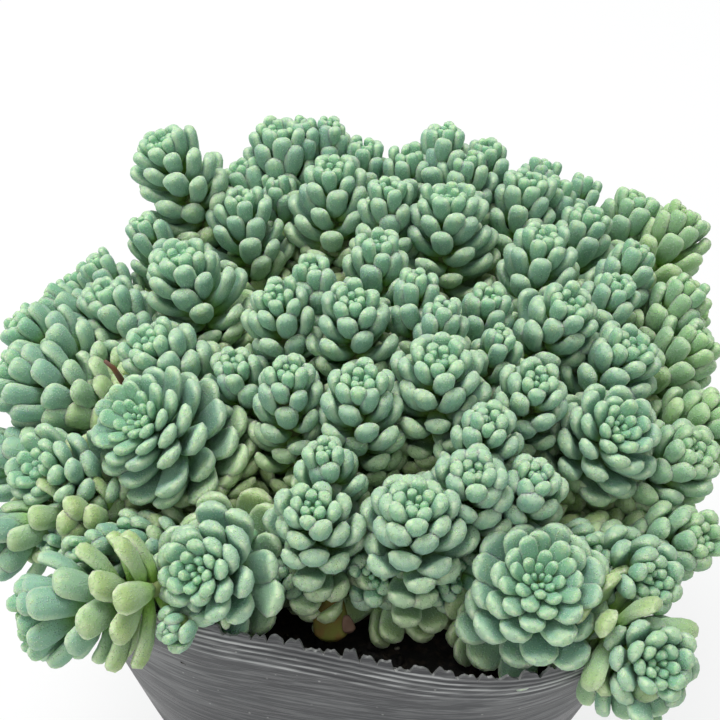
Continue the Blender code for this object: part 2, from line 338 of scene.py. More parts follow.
# %% [markdown]
# ## The pot's outline
# The pot is a soft film bag with a round foot. The plant has pushed its mouth out of
# round, so the rim is a circle with a little of two waves added, one oval and one
# three-sided, and one side of it stands higher. Every other piece asks these functions
# where the wall is.

# %% Wall functions
RIM_HEIGHT, RIM_RISE, RIM_RISE_ANGLE = 75.0, 5.0, 200.0
RIM_RADIUS, FOOT_RADIUS, WALL_BULGE = 46.0, 33.5, 1.3
RIM_CENTRE = np.array([0.5, -5.0])
OVAL, OVAL_ANGLE = 0.05, 171.0
THREE_SIDED, THREE_SIDED_ANGLE = 0.09, 80.0


def rim_radius(angle):
    """Outer radius of the mouth: a circle pushed oval and a little three-sided."""
    oval = OVAL * np.cos(2 * (angle - radians(OVAL_ANGLE)))
    three_sided = THREE_SIDED * np.cos(3 * (angle - radians(THREE_SIDED_ANGLE)))
    return RIM_RADIUS * (1 + oval + three_sided)


def rim_height(angle):
    """Height of the rim, which one side of the plant has pulled up."""
    return RIM_HEIGHT + RIM_RISE * np.cos(angle - radians(RIM_RISE_ANGLE))


def wall_radius(angle, down):
    """Outer radius of the wall, where down goes from 0 at the rim to 1 at the foot."""
    straight = rim_radius(angle) * (1 - down) + FOOT_RADIUS * down
    return straight + WALL_BULGE * 4 * down * (1 - down)


def around_wall(points):
    """(angle, share of the way down, distance out from the wall) of each point."""
    down = 1 - points[:, 2] / RIM_HEIGHT
    flat = points[:, :2] - RIM_CENTRE * np.clip(1 - down, 0, 1)[:, None]
    angle = np.arctan2(flat[:, 1], flat[:, 0])
    down = 1 - points[:, 2] / rim_height(angle)
    out = np.hypot(flat[:, 0], flat[:, 1]) - wall_radius(angle, np.clip(down, 0, 1))
    return angle, down, out


def ring_at(angle, down, radius, height):
    """Points round the middle of the pot, which shifts from the foot to the mouth."""
    x = RIM_CENTRE[0] * (1 - down) + radius * np.cos(angle)
    y = RIM_CENTRE[1] * (1 - down) + radius * np.sin(angle)
    return np.stack([x, y, height + np.zeros_like(x)], axis=1)


widest = rim_radius(np.radians(np.arange(360))).max()
print("mouth, widest radius:", round(float(widest), 1), "mm")

# %% [markdown]
# ## The pot's film
# The film is moulded with fine ribs below the rim, and the rim itself is torn off in
# small teeth. Ribs and teeth are real shape here, because light catches them; the
# smaller lines, the haze and the specks of dust are left to the material.

# %% Torn teeth
TOOTH_PITCH, TOOTH_HEIGHT = 1.9, 2.1
TEETH = round(2 * pi * RIM_RADIUS / TOOTH_PITCH)
TALLEST_TEETH, TOOTH_STRETCH = 285.0, 0.38
TOOTH_WANDER, WANDER_WAVES = 0.35, (7, 13, 22)
GAP_RANGE, TOOTH_SKEW, TOOTH_CHANCE = (0.03, 0.2), 0.1, 2
PATCH_WAVES = (3, 5, 8)
FRAY, FRAY_WAVES = 0.3, (150, 190, 240)


def wobble(angle, waves, seed):
    """A smooth random curve round the rim, with that many waves, from about -1 to 1."""
    draw = chance(seed)
    total = np.zeros_like(angle)
    for wave in waves:
        total += np.cos(wave * angle + draw.uniform(0, 2 * pi)) * draw.uniform(0.5, 1)
    return total / len(waves)


def bell(away, spread):
    """1 in the middle, and nearly 0 at twice the spread."""
    return np.exp(-((away / spread) ** 2))


def teeth(angle):
    """Height of the torn edge: round-topped teeth with narrow gaps, some taller."""
    away = angle - radians(TALLEST_TEETH)
    stretched = angle - TOOTH_STRETCH * np.sin(away)
    turn = stretched / (2 * pi) * TEETH + TOOTH_WANDER * wobble(angle, WANDER_WAVES, 1)
    number = np.floor(turn).astype(int) % TEETH
    draw = chance(TOOTH_CHANCE)
    tall = draw.uniform(0.0, 1.0, TEETH) ** 0.7
    gap = draw.uniform(*GAP_RANGE, TEETH) ** 1.3
    skew = draw.uniform(-TOOTH_SKEW, TOOTH_SKEW, TEETH)
    across = (turn % 1) - 0.5 + skew[number]
    top = np.clip(1 - (np.abs(across) / (0.5 - gap[number])) ** 4, 0, 1) ** 0.5
    patch = 0.72 + 0.35 * np.cos(away).clip(0, 1) ** 3 + 0.25 * wobble(angle, PATCH_WAVES, 3)
    frayed = FRAY * wobble(angle, FRAY_WAVES, 6)
    return TOOTH_HEIGHT * (patch * top * tall[number] + frayed - 0.5)


print("teeth round the rim:", TEETH)

# %% Ribbed wall
FILM, FILM_SIDES = 0.4, 900
# Depths of the rings below the rim: close together where teeth and ribs are.
TOOTH_ROWS = (0.0, 0.35, 0.8, 1.3)
RIB_ROWS_FROM, RIB_ROWS_TO, RIB_ROW_STEP = 1.6, 9.0, 0.3
LOW_ROWS_FROM, LOW_ROWS = 9.6, 15
TOOTH_FADE = 0.6
# How deep below the rim each rib is, and how far it stands out.
RIBS = ((1.3, 0.1), (2.6, 0.22), (3.9, 0.26), (5.3, 0.24), (6.9, 0.16))
RIB_HALF_WIDTH = 0.36
RUFFLE, RUFFLE_WAVES, RUFFLE_FADE = 0.3, (31, 47, 64, 90), 1.2
DENT, DENT_WAVES, DENT_DEPTH, DENT_SPREAD = 0.25, (9, 14, 17), 14, 12


def bulge(angle, depth):
    """How far ribs, ruffles and dents push the film out."""
    ribs = sum(size * bell(depth - place, RIB_HALF_WIDTH) for place, size in RIBS)
    ruffle = RUFFLE * wobble(angle, RUFFLE_WAVES, 4) * np.exp(-depth / RUFFLE_FADE)
    dent = DENT * wobble(angle + 0.01 * depth, DENT_WAVES, 5)
    return ribs + ruffle + dent * bell(depth - DENT_DEPTH, DENT_SPREAD)


def film_wall():
    """Rings of points: up the outside, over the teeth, and down the inside."""
    angle = turns(FILM_SIDES)
    rib_rows = np.arange(RIB_ROWS_FROM, RIB_ROWS_TO, RIB_ROW_STEP)
    depths = [*TOOTH_ROWS, *rib_rows, *np.linspace(LOW_ROWS_FROM, RIM_HEIGHT, LOW_ROWS)]
    rings = []
    for inner in (False, True):
        for depth in depths[:: 1 if inner else -1]:
            # The inside hardly shows, so it has fewer rings among the ribs.
            if inner and depth % 1 > 0.35 and RIB_ROWS_FROM < depth < RIB_ROWS_TO:
                continue
            down = depth / RIM_HEIGHT
            height = rim_height(angle) * (1 - down) + teeth(angle) * bell(depth, TOOTH_FADE)
            radius = wall_radius(angle, down) - (FILM if inner else 0) + bulge(angle, depth)
            rings.append(ring_at(angle, down, radius, height))
    return np.concatenate(rings), ring_quads(len(rings), FILM_SIDES, closed=True).tolist()


pot_wall = film_wall()
print("points of the wall:", len(pot_wall[0]))

# %% [markdown]
# ## The pot's foot
# Water has to run out of a pot, so its flat foot has a ring of holes. A grid with holes
# in it is hard to write; a Boolean modifier cuts them out of a plain disc, and the two
# objects that it needs are thrown away afterwards.

# %% Foot with drain holes
DRAIN_HOLES, DRAIN_RING, DRAIN_RADIUS = 6, 20.0, 3.5
FOOT_SIDES, HOLE_SIDES, HOLE_CUT = 96, 32, 6.0


def discs(name, sides, radius, depth, places):
    """An object of upright discs, for a moment of modelling."""
    shape = bmesh.new()
    for place in places:
        middle = [number * MM for number in place]
        bmesh.ops.create_cone(
            shape, cap_ends=True, segments=sides, radius1=radius * MM, radius2=radius * MM,
            depth=depth * MM, matrix=Matrix.Translation(middle),
        )
    mesh = bpy.data.meshes.new(name)
    shape.to_mesh(mesh)
    shape.free()
    thing = bpy.data.objects.new(name, mesh)
    bpy.context.scene.collection.objects.link(thing)
    return thing


def film_foot():
    """A thin disc with drain holes through it."""
    holes = [(DRAIN_RING * cos(way), DRAIN_RING * sin(way), 0) for way in turns(DRAIN_HOLES)]
    body = discs("foot_disc", FOOT_SIDES, FOOT_RADIUS - FILM / 2, 2 * FILM, [(0, 0, FILM)])
    cutter = discs("drain_holes", HOLE_SIDES, DRAIN_RADIUS, HOLE_CUT, holes)
    cut = body.modifiers.new("cut", "BOOLEAN")
    cut.object = cutter
    bpy.context.view_layer.update()
    graph = bpy.context.evaluated_depsgraph_get()
    done = bpy.data.meshes.new_from_object(body.evaluated_get(graph))
    points = np.array([tuple(vertex.co) for vertex in done.vertices]) / MM
    faces = [list(face.vertices) for face in done.polygons]
    for thing in (body, cutter):
        bpy.data.objects.remove(thing)
    return points, faces


pot_foot = film_foot()
print("faces of the foot:", len(pot_foot[1]))

# %% [markdown]
# ## The film's finish
# Black film turns grey with handling: light scatters in fine lines drawn round the pot
# when it was moulded, in pale scuffs and in specks of dried salt and dust. The finish
# starts near black and lays each of these over it. The crests of the ribs also get a
# painted highlight, and near the rim the valleys between them a painted shade. It stays
# soft in its shine, because a hard highlight would look like glazed clay.

# %% Film finish
FILM_BLACK = paint(0.018, 0.019, 0.022)
FILM_GREY = paint(0.075, 0.077, 0.08)
# The pale colour of the moulded lines, also used for the painted highlight on the rib crests.
FILM_LINE_AND_HIGHLIGHT = paint(0.48, 0.485, 0.475)
DUST = paint(0.55, 0.55, 0.52)
# How many patches of each kind there are to a metre.
CLOUDS, HAZES, BRUSHES, FINE_LINES, FILM_GRAINS = 16, 40, 75, 200, 420
SCUFFS, SCUFF_PATCHES, DUST_SPECKS, DUST_PATCHES = 150, 40, 480, 90


def make_film_finish():
    film = Finish("pot_film", {"Specular IOR Level": 0.42})
    near_rim = film.label("near_rim")
    cloud = film.grain(CLOUDS, 3.0, (1, 1, 2)).rise(0.38, 0.62)
    haze = film.grain(HAZES, 4.0, (1, 1, 3)).rise(0.36, 0.64)
    brushed = film.grain(BRUSHES, 4.0, (1, 1, 12)).rise(0.44, 0.62)
    fine_lines = film.grain(FINE_LINES, 2.0, (1, 1, 14)).rise(0.48, 0.62)
    colour = film.blend(cloud * 0.4 + haze * 0.6, FILM_BLACK, FILM_GREY)
    lines = brushed * (0.12 + 0.4 * cloud) + fine_lines * 0.35 * haze
    colour = film.blend(lines * (0.2 + 0.8 * near_rim), colour, FILM_LINE_AND_HIGHLIGHT)
    # Painted highlight on the rib crests, and painted shade in the valleys between the ribs near
    # the rim.
    painted_crest_light = film.label("painted_crest_light").rise(0.25, 0.95)
    painted_valley_shade = (1 - painted_crest_light) * near_rim.rise(0.4, 0.85)
    colour = film.blend(painted_valley_shade * 0.5, colour, FILM_BLACK)
    colour = film.blend(painted_crest_light * (0.25 + 0.65 * brushed), colour, FILM_LINE_AND_HIGHLIGHT)
    colour = film.blend(film.label("torn").rise(0.3, 0.95) * 0.65, colour, DUST)
    scuff_line = film.grain(SCUFFS, 1.0) - 0.5
    line = 1 - scuff_line.maths("ABSOLUTE", scuff_line, 0).rise(0.0, 0.012)
    scuff = line * film.grain(SCUFF_PATCHES, 1.0).rise(0.55, 0.66)
    colour = film.blend(scuff * (0.06 + 0.4 * near_rim), colour, DUST)
    speck = 1 - film.dots(DUST_SPECKS).rise(0.06, 0.12)
    speck = speck * film.grain(DUST_PATCHES, 1.0).rise(0.5, 0.62)
    colour = film.blend(speck * 0.4, colour, DUST)
    film.wear("Base Color", colour)
    film.wear("Roughness", 0.34 + 0.22 * haze)
    film.bump(brushed + 0.5 * fine_lines + 0.6 * film.grain(FILM_GRAINS, 3.0), 0.05)
    return film.material


film_finish = make_film_finish()
print("nodes in the film's finish:", len(film_finish.node_tree.nodes))

# %% The pot in place
RIM_WEAR, TORN_EDGE, SHARP_EDGE = 11.0, 0.15, radians(60)


def make_pot():
    points, faces = join([pot_wall, pot_foot])
    angle, down, _ = around_wall(points)
    depth = down * RIM_HEIGHT
    values = {
        "painted_crest_light": sum(bell(depth - place, RIB_HALF_WIDTH) for place, _ in RIBS),
        "torn": 1 / (1 + np.exp((depth + teeth(angle)) / TORN_EDGE)),
        "near_rim": np.exp(-depth.clip(0, None) / RIM_WEAR),
    }
    pot = make_piece("nursery_pot", points, faces, film_finish, "pot_film", values)
    pot.data.set_sharp_from_angle(angle=SHARP_EDGE)
    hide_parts("pot")
    print("pot film faces:", len(pot.data.polygons))


make_pot()

# %% [markdown]
# ## The potting mix
# Peat and grit fill the pot to a finger's width below the rim. It shows only in the gap
# behind the front rim, as dark crumbs. A bumpy disc would look like cloth there, so
# crumbs of many sizes, each a lump with its own shape, lie over a bumpy plug.

# %% Plug
SOIL_TOP = 66.0
SOIL_INSET = FILM + 0.35
SOIL_LEVELS = (1.2, 15, 30, 45, 58, SOIL_TOP - 1)
SOIL_SIDES, SOIL_ROWS = 180, 30
LUMP_HEIGHT, LUMPS_PER_MM = 0.8, 0.16


def soil_height(x, y):
    """Height of the lumpy top of the soil at each x and y."""
    lumps = [
        noise.fractal(Vector((a * LUMPS_PER_MM, b * LUMPS_PER_MM, 3.0)), 0.6, 2.1, 5)
        for a, b in zip(x, y)
    ]
    return SOIL_TOP + LUMP_HEIGHT * np.array(lumps)


def soil_plug():
    """Rings up the inside of the wall, then inwards over the lumpy top."""
    angle = turns(SOIL_SIDES)
    rings = []
    for height in SOIL_LEVELS:
        down = 1 - height / rim_height(angle)
        rings.append(ring_at(angle, down, wall_radius(angle, down) - SOIL_INSET, height))
    edge = rings[-1]
    middle = edge.mean(axis=0)
    for row in range(SOIL_ROWS):
        ring = middle + (edge - middle) * (1 - row / SOIL_ROWS)
        ring[:, 2] = soil_height(ring[:, 0], ring[:, 1])
        rings.append(ring)
    return np.concatenate(rings), capped_quads(len(rings), SOIL_SIDES)


plug = soil_plug()
print("points of the plug:", len(plug[0]))

# %% Crumbs
CRUMBS, CRUMB_CHANCE = 800, 20
CRUMB_SIZES = (0.25, 1.3)
CRUMB_DOWN, CRUMB_INNER, CRUMB_LIFT, CRUMB_KNOBS = 0.12, 0.12, 0.3, 0.28


def lump_shape():
    """Points and faces of a small ball, which each crumb then bends out of shape."""
    ball = bmesh.new()
    bmesh.ops.create_icosphere(ball, subdivisions=2, radius=1.0)
    points = np.array([tuple(vertex.co) for vertex in ball.verts])
    faces = np.array([[vertex.index for vertex in face.verts] for face in ball.faces])
    ball.free()
    return points, faces


def crumbs(count, draw):
    """Lumps scattered over the top of the plug, more of them near the rim."""
    ball, ball_faces = lump_shape()
    angle = draw.uniform(0, 2 * pi, count)
    share = np.sqrt(draw.uniform(CRUMB_INNER, 1, count))
    radius = share * (wall_radius(angle, CRUMB_DOWN) - SOIL_INSET - LUMP_HEIGHT)
    size = CRUMB_SIZES[0] + (CRUMB_SIZES[1] - CRUMB_SIZES[0]) * draw.uniform(0, 1, count) ** 3
    spot = ring_at(angle, 0, radius, 0)
    spot[:, 2] = soil_height(spot[:, 0], spot[:, 1]) + CRUMB_LIFT * size
    knobs = 1 + CRUMB_KNOBS * draw.normal(0, 1, (count, len(ball), 1)).clip(-1.5, 1.5)
    squash = draw.uniform(0.5, 1.1, (count, 1, 3))
    points = ball[None] * knobs * squash * size[:, None, None] + spot[:, None]
    faces = ball_faces[None] + (np.arange(count) * len(ball))[:, None, None]
    shade = np.repeat(draw.uniform(0, 1, count), len(ball))
    return points.reshape(-1, 3), faces.reshape(-1, 3).tolist(), shade


*loose_crumbs, crumb_shades = crumbs(CRUMBS, chance(CRUMB_CHANCE))
print("crumbs:", CRUMBS)

# %% Soil in place
PLUG_SHADE, GRIT_SHADES = 0.3, (0.965, 0.975)
EARTH_DARK = paint(0.012, 0.011, 0.01)
EARTH_BROWN = paint(0.06, 0.042, 0.028)
GRIT_PALE = paint(0.3, 0.27, 0.22)
EARTH_PATCHES, EARTH_GRAINS = 700, 1600


def make_soil_finish():
    soil = Finish("potting_mix", {"Specular IOR Level": 0.2, "Roughness": 0.95})
    shade = soil.label("shade")
    brown = soil.grain(EARTH_PATCHES, 4.0).rise(0.45, 0.75) * (0.3 + 0.7 * shade)
    colour = soil.blend(brown, EARTH_DARK, EARTH_BROWN)
    soil.wear("Base Color", soil.blend(shade.rise(*GRIT_SHADES), colour, GRIT_PALE))
    soil.bump(soil.grain(EARTH_GRAINS, 4.0), 0.25)
    return soil.material


def make_soil():
    points, faces = join([plug, loose_crumbs])
    shades = np.concatenate([np.full(len(plug[0]), PLUG_SHADE), crumb_shades])
    soil = make_piece("potting_mix", points, faces, make_soil_finish(), "soil", {"shade": shades})
    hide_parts("soil")
    print("soil faces:", len(faces))


make_soil()

# %% [markdown]
# ## Where the heads are
# Each leafy head is one line of a plan: where its tip is, how far it leans and which
# way, how wide it is and how far down its leaves go. The named heads are nodes of the
# plain model. The young shoots between them are extra, and fill the cushion.

# %% Plan of the heads
# tip x, tip y, tip height above the rim, lean from upright, way it leans, width, leafy length
HEADS = {
    "front": [
        (26, -39, 13, 22, 275, 21, 16),
        (8, -32, 22, 8, 275, 14, 20),
        (-7, -32, 21, 14, 260, 12, 16),
        (-24, -40, 15, 42, 244, 17, 12),
        (17, -27, 23, 14, 285, 12, 15),
        (26, -26, 21, 18, 300, 9, 13),
    ],
    "left": [
        (-35, -16, 23, 36, 210, 21, 18),
        (-50, -20, 16, 42, 208, 16, 16),
        (-50, -42, 6, 99, 190, 16, 18),
        (-61, -30, 10, 72, 203, 11, 10),
        (-61, -12, 10, 72, 182, 12, 12),
        (-58, -1, 19, 58, 175, 14, 17),
        (-34, -2, 26, 28, 185, 14, 14),
        (-54, 19, 17, 55, 165, 10, 14),
        (-43, 14, 23, 25, 160, 12, 15),
    ],
    "crown": [
        (12, -11, 31, 6, 280, 14, 16),
        (0, -15, 30, 4, 270, 12, 20),
        (-11, -13, 30, 4, 250, 10, 18),
        (-1, 0, 33, 3, 250, 12, 15),
        (-13, 2, 32, 8, 220, 11, 17),
        (19, -20, 26, 15, 290, 10, 12),
        (27, -12, 27, 14, 300, 11, 16),
        (21, 9, 26, 8, 20, 10, 12),
        (3, 14, 33, 5, 90, 10, 14),
    ],
    "right": [
        (40, -16, 21, 28, 310, 17, 16),
        (34, 6, 27, 20, 345, 13, 15),
        (44, -36, 8, 50, 300, 14, 12),
        (43, -49, 5, 40, 290, 16, 10),
        (53, -27, 8, 45, 330, 12, 14),
        (53, -14, 14, 35, 340, 14, 16),
        (60, -4, 12, 45, 355, 14, 17),
        (44, 2, 22, 24, 0, 14, 17),
        (58, 12, 15, 38, 15, 12, 16),
        (48, 25, 23, 25, 30, 10, 14),
    ],
    "back": [
        (15, 30, 31, 6, 80, 15, 16),
        (31, 24, 27, 12, 50, 13, 15),
        (30, 42, 26, 16, 55, 12, 13),
        (52, 48, 17, 30, 45, 13, 13),
        (41, 38, 21, 22, 45, 12, 14),
        (60, 42, 18, 35, 35, 12, 14),
        (-35, 40, 35, 22, 170, 14, 22),
        (-21, 35, 27, 12, 120, 12, 16),
        (-15, 50, 31, 14, 105, 13, 13),
        (-5, 38, 31, 8, 95, 13, 17),
        (-30, 16, 29, 16, 165, 15, 17),
    ],
    "rear": [
        (2, 60, 12, 55, 90, 13, 16),
        (24, 58, 10, 55, 70, 12, 15),
        (44, 46, 4, 60, 45, 12, 13),
        (61, 28, 8, 55, 25, 11, 15),
        (-20, 58, 11, 55, 110, 13, 16),
        (-38, 48, 12, 50, 130, 12, 15),
        (-52, 33, 11, 50, 150, 12, 15),
    ],
}
YOUNG_SHOOTS = [
    (-5, -25, 25, 10, 250, 8, 12), (-27.5, -46, 9, 55, 245, 6, 6), (-48, -30, 9, 50, 215, 7, 10),
    (-60, 20, 12, 45, 160, 9, 13), (-46, 26, 20, 30, 150, 8, 12), (-8, 8, 33, 5, 150, 9, 12),
    (9, 5, 33, 5, 60, 8, 12), (13, -1, 32, 5, 330, 8, 10), (22, -3, 28, 12, 330, 7, 10),
    (-57, 8, 20, 52, 172, 13, 14), (43, 15, 24, 20, 25, 10, 13), (57, 20, 19, 32, 20, 10, 15),
    (5, 31, 32, 6, 90, 10, 14), (15, 48, 32, 12, 80, 10, 14), (23, 50, 27, 16, 70, 10, 12),
    (34, 52, 22, 24, 60, 9, 12), (42, 52, 18, 28, 50, 8, 12), (-38, 30, 25, 25, 160, 8, 12),
    (-6, 52, 31, 12, 95, 8, 12), (-15, 42, 25, 12, 110, 8, 12), (-20, -6, 25, 12, 220, 9, 13),
    (-22, 47, 25, 28, 140, 11, 13), (-10, 51, 31, 10, 100, 10, 14), (1, 49, 28, 14, 85, 10, 12),
    (9, 46, 28, 8, 80, 11, 13), (19, 44, 29, 10, 75, 10, 12), (36, 46, 22, 24, 55, 10, 12),
    (-36, -31, 11, 45, 225, 9, 9), (-42, -34, 12, 55, 220, 8, 9),
    (-13, -33, 6, 48, 262, 12, 7), (2, -34, 6, 50, 270, 12, 7), (15, -34, 6, 48, 280, 12, 7),
    (-18, -30, 9, 35, 250, 10, 7), (35, -31, 8, 40, 300, 10, 7),
]
LEAFY_STRETCH = {"front": 1.0, "left": 1.05, "crown": 1.25, "right": 1.1, "back": 1.3, "rear": 1.1}
# How many degrees further than the dome's leaves the lowest leaves of a head lean out.
LOW_DROOP = {"front": 62, "left": 22, "crown": 22, "right": 26, "back": 24, "rear": 26}
# The best lit heads have broader leaves.
PLUMP = {"front": 1.14, "left": 1.06, "crown": 1.0, "right": 1.04, "back": 1.0, "rear": 1.0}
YOUNG_STRETCH, YOUNG_DROOP = 1.1, 48


class Head:
    """A leafy head: the line of its stem end, from its base to its tip."""

    def __init__(self, name, plan, stretch, droop, plump=1.0):
        x, y, rise, lean, facing, width, length = plan
        tilt, way = radians(lean), radians(facing)
        self.name, self.width, self.length = name, width, length * stretch
        self.droop, self.plump = droop, plump
        self.axis = np.array([sin(tilt) * cos(way), sin(tilt) * sin(way), cos(tilt)])
        self.tip = np.array([x, y, RIM_HEIGHT + rise], float)
        self.base = self.tip - self.axis * self.length
        self.side = unit(np.cross(self.axis, [cos(way), sin(way), -1.0]))


def heads_of(region):
    """The named heads of one region of the cushion."""
    habits = LEAFY_STRETCH[region], LOW_DROOP[region], PLUMP[region]
    plans = enumerate(HEADS[region], 1)
    return [Head(f"{region}_rosette_{number}", plan, *habits) for number, plan in plans]


def off_plan(head):
    """How far the tip of a head is from the box of its node."""
    low, high = (np.array(corner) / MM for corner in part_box(head.name))
    return float(np.abs(head.tip - head.tip.clip(low, high)).max())


heads = [head for region in HEADS for head in heads_of(region)]
furthest = round(max(off_plan(head) for head in heads), 3)
print("named heads:", len(heads), "furthest tip from its node:", furthest, "mm")
heads += [
    Head(f"young_shoot_{number}", plan, YOUNG_STRETCH, YOUNG_DROOP)
    for number, plan in enumerate(YOUNG_SHOOTS, 1)
]
print("all heads:", len(heads))

# %% [markdown]
# ## Stems
# The stems branch from six rooted crowns on the soil and bend up, or out over the rim, to
# their heads. Their paths come before the leaves, because the oldest leaves of a head sit
# on its stem and follow its bend.

# %% Stem paths
CROWN_RING, CROWN_RADIUS, CROWN_HEIGHT = 20.0, 5.0, 4.5
CROWNS = {
    "right_back": 30, "back": 90, "left_back": 150,
    "left_front": 210, "front": 270, "right_front": 330,
}
STEM_STEPS, STEM_SIDES = 14, 10
STEM_RADIUS, STEM_BEND, SEAT = 1.15, 14.0, 0.3
# A stem starts inside its head: this share of the head below its tip, or this far at most.
CORE_SHARE, CORE_MOST = 0.45, 7.0
# Where a stem meets its crown, and how far each end of a curve keeps its direction.
FOOT_OUT, FOOT_UP, FOOT_RISE = 0.4, 0.3, 0.03
FOOT_PULL, HEAD_PULL, RIDGE_PULL, OVER_PULL = 0.7, 0.8, 0.6, 0.5
# A head outside the rim and no higher above it than this has its stem over the rim.
LOW_HEAD, RIM_CLEARANCE, RIDGE_DROP = 12.0, 3.0, 0.2


def crown_point(place_angle):
    """The middle of a crown, on the soil."""
    way = radians(place_angle)
    return np.array([CROWN_RING * cos(way), CROWN_RING * sin(way) + RIM_CENTRE[1], SOIL_TOP])


def crown_of(head):
    """The name of the crown that is nearest to the head's base."""
    away = {name: np.linalg.norm(crown_point(a) - head.base) for name, a in CROWNS.items()}
    return min(away, key=away.get)


def bow(start, leaving, end, arriving, steps):
    """Points on a smooth curve that leaves and arrives along the two directions given."""
    t = np.linspace(0, 1, steps + 1)[:, None]
    return (
        (2 * t**3 - 3 * t**2 + 1) * start
        + (t**3 - 2 * t**2 + t) * leaving
        + (3 * t**2 - 2 * t**3) * end
        + (t**3 - t**2) * arriving
    )


def stem_path(head):
    """From inside the head, over the rim where the head hangs outside it, to its crown."""
    crown = crown_point(CROWNS[crown_of(head)])
    inside = head.tip - head.axis * min(head.length * CORE_SHARE, CORE_MOST)
    start = head.base - head.axis * (SEAT + STEM_RADIUS)
    span = np.linalg.norm(crown - start)
    toward = (start - crown) / span * [1, 1, 0]
    foot_rise = CROWN_HEIGHT * FOOT_UP + FOOT_RISE * span
    foot = crown + toward * CROWN_RADIUS * FOOT_OUT + [0, 0, foot_rise]
    out = start[:2] - RIM_CENTRE
    angle = atan2(out[1], out[0])
    over = hypot(*out) > rim_radius(angle) + FILM
    low = start[2] < rim_height(angle) + LOW_HEAD
    if not (over and low):
        leaving = -head.axis * min(span, STEM_BEND)
        rest = bow(start, leaving, foot, np.array([0, 0, -FOOT_PULL]) * span, STEM_STEPS)
        return np.concatenate([[inside], rest])
    outward = np.array([cos(angle), sin(angle), 0])
    ridge = outward * rim_radius(angle) + [*RIM_CENTRE, rim_height(angle) + RIM_CLEARANCE]
    reach = np.linalg.norm(ridge - start)
    inward = -outward + [0, 0, -RIDGE_DROP]
    first = bow(start, -head.axis * reach * HEAD_PULL, ridge, inward * reach, STEM_STEPS // 2)
    down = np.array([0, 0, -OVER_PULL]) * span
    rest = bow(ridge, inward * span * RIDGE_PULL, foot, down, STEM_STEPS)
    return np.concatenate([[inside], first, rest[1:]])


print("longest stem has points:", max(len(stem_path(head)) for head in heads))

# %% [markdown]
# ## Along a path
# A stem is a tube, swept along its path by a ring that stays square to it. Leaves need
# to know where they sit on the same path, so they ask for its points by the distance
# walked along it.

# %% Tubes and marks
def walked_along(path):
    """How far along the path each of its points is."""
    legs = np.linalg.norm(np.diff(path, axis=0), axis=1)
    return np.concatenate([[0], np.cumsum(legs)])


def at_marks(marks, walked, rows):
    """What the rows become between their points, at each mark of the way walked."""
    return np.stack([np.interp(marks, walked, rows[:, axis]) for axis in range(3)], axis=1)


def resample(path, step):
    """The same path with points a fixed step apart."""
    walked = walked_along(path)
    marks = np.linspace(0, walked[-1], max(int(walked[-1] / step), 4) + 1)
    return at_marks(marks, walked, path)


def tube(path, radii, sides):
    """Rings of points square to a path, and the faces that close them."""
    along = unit(np.gradient(path, axis=0))
    side = np.cross(along[0], [0.3, 0.2, 1.0])
    cosines, sines = np.cos(turns(sides)), np.sin(turns(sides))
    rings = []
    for point, way, radius in zip(path, along, radii):
        side = unit(side - way * (side @ way))
        other = np.cross(way, side)
        rings.append(point + radius * (np.outer(cosines, side) + np.outer(sines, other)))
    return np.concatenate(rings), capped_quads(len(path), sides)


print("first stem:", round(walked_along(stem_path(heads[0]))[-1]), "mm long")

# %% [markdown]
# ## Growing a head
# A plant sets each new leaf about 137.5 degrees round from the last. That one rule makes
# the crossing spirals of a pine cone, a sunflower and a sedum. Leaf 0 is the youngest,
# at the tip. With each older leaf the leaf is larger, its tip is further from the stem,
# and it leans out more, until below the dome of the head all leaves are full grown and
# simply follow one another down the stem.

# %% Sizes of leaves
HEAD_SPREAD = 1.1
# How the leaves of the dome change, from the youngest to the last before the skirt, for a
# head of usual width: how grown the leaf is, its width and length, the share of the
# head's half width that its tip reaches, the drop of its tip, and its thickness by width.
DOME = np.array([
    (0.0, 0.9, 1.8, 0.06, 1.7, 1.0),
    (0.2, 1.75, 3.9, 0.26, 0.8, 0.9),
    (0.45, 2.8, 6.2, 0.54, 0.3, 0.78),
    (0.72, 3.6, 8.2, 0.8, 1.6, 0.68),
    (1.0, 4.1, 9.4, 1.0, 4.3, 0.62),
])
SKIRT_WIDTH, SKIRT_LENGTH, SKIRT_THICKNESS = 4.4, 9.6, 0.56
TIP_INSET, SKIRT_FLARE = 1.8, 1.5
# Larger heads have larger leaves, but less than in proportion.
WIDTH_POWER, LENGTH_POWER, DEPTH_POWER = 0.35, 0.4, 0.5
# What an open rosette changes: wider, longer, thinner leaves, but narrow ones inside.
BUD_WIDTH, OPEN_WIDER, OPEN_INSIDE = 0.95, 0.08, 0.3
BUD_LENGTH, OPEN_LONGER, OPEN_THINNER = 0.93, 0.07, 0.24


def leaf_sizes(head, big, openness, grown, skirt):
    """Each leaf's width, length, thickness by width, reach from the stem, and tip drop."""
    dome = (np.interp(grown, DOME[:, 0], column) for column in DOME[:, 1:].T)
    width, length, share, drop, thick = dome
    width = (width + (SKIRT_WIDTH - width) * skirt) * big**WIDTH_POWER
    width = width * (1 + (head.plump - 1) * grown)
    inside = OPEN_INSIDE * openness**2 * (1 - grown)
    width = width * (BUD_WIDTH + OPEN_WIDER * openness - inside)
    length = (length + (SKIRT_LENGTH - length) * skirt) * big**LENGTH_POWER
    length = length * (1 + (head.plump - 1) * skirt) * (BUD_LENGTH + OPEN_LONGER * openness)
    thick = thick + (SKIRT_THICKNESS - thick) * skirt
    thick = thick * (1 - OPEN_THINNER * openness * np.minimum(1, 3 * grown))
    reach = (head.width * HEAD_SPREAD / 2 - TIP_INSET) * share + SKIRT_FLARE * skirt
    return width, length, thick, reach, drop * big**DEPTH_POWER


print("leaves grow from", DOME[0, 2], "mm to", SKIRT_LENGTH, "mm")

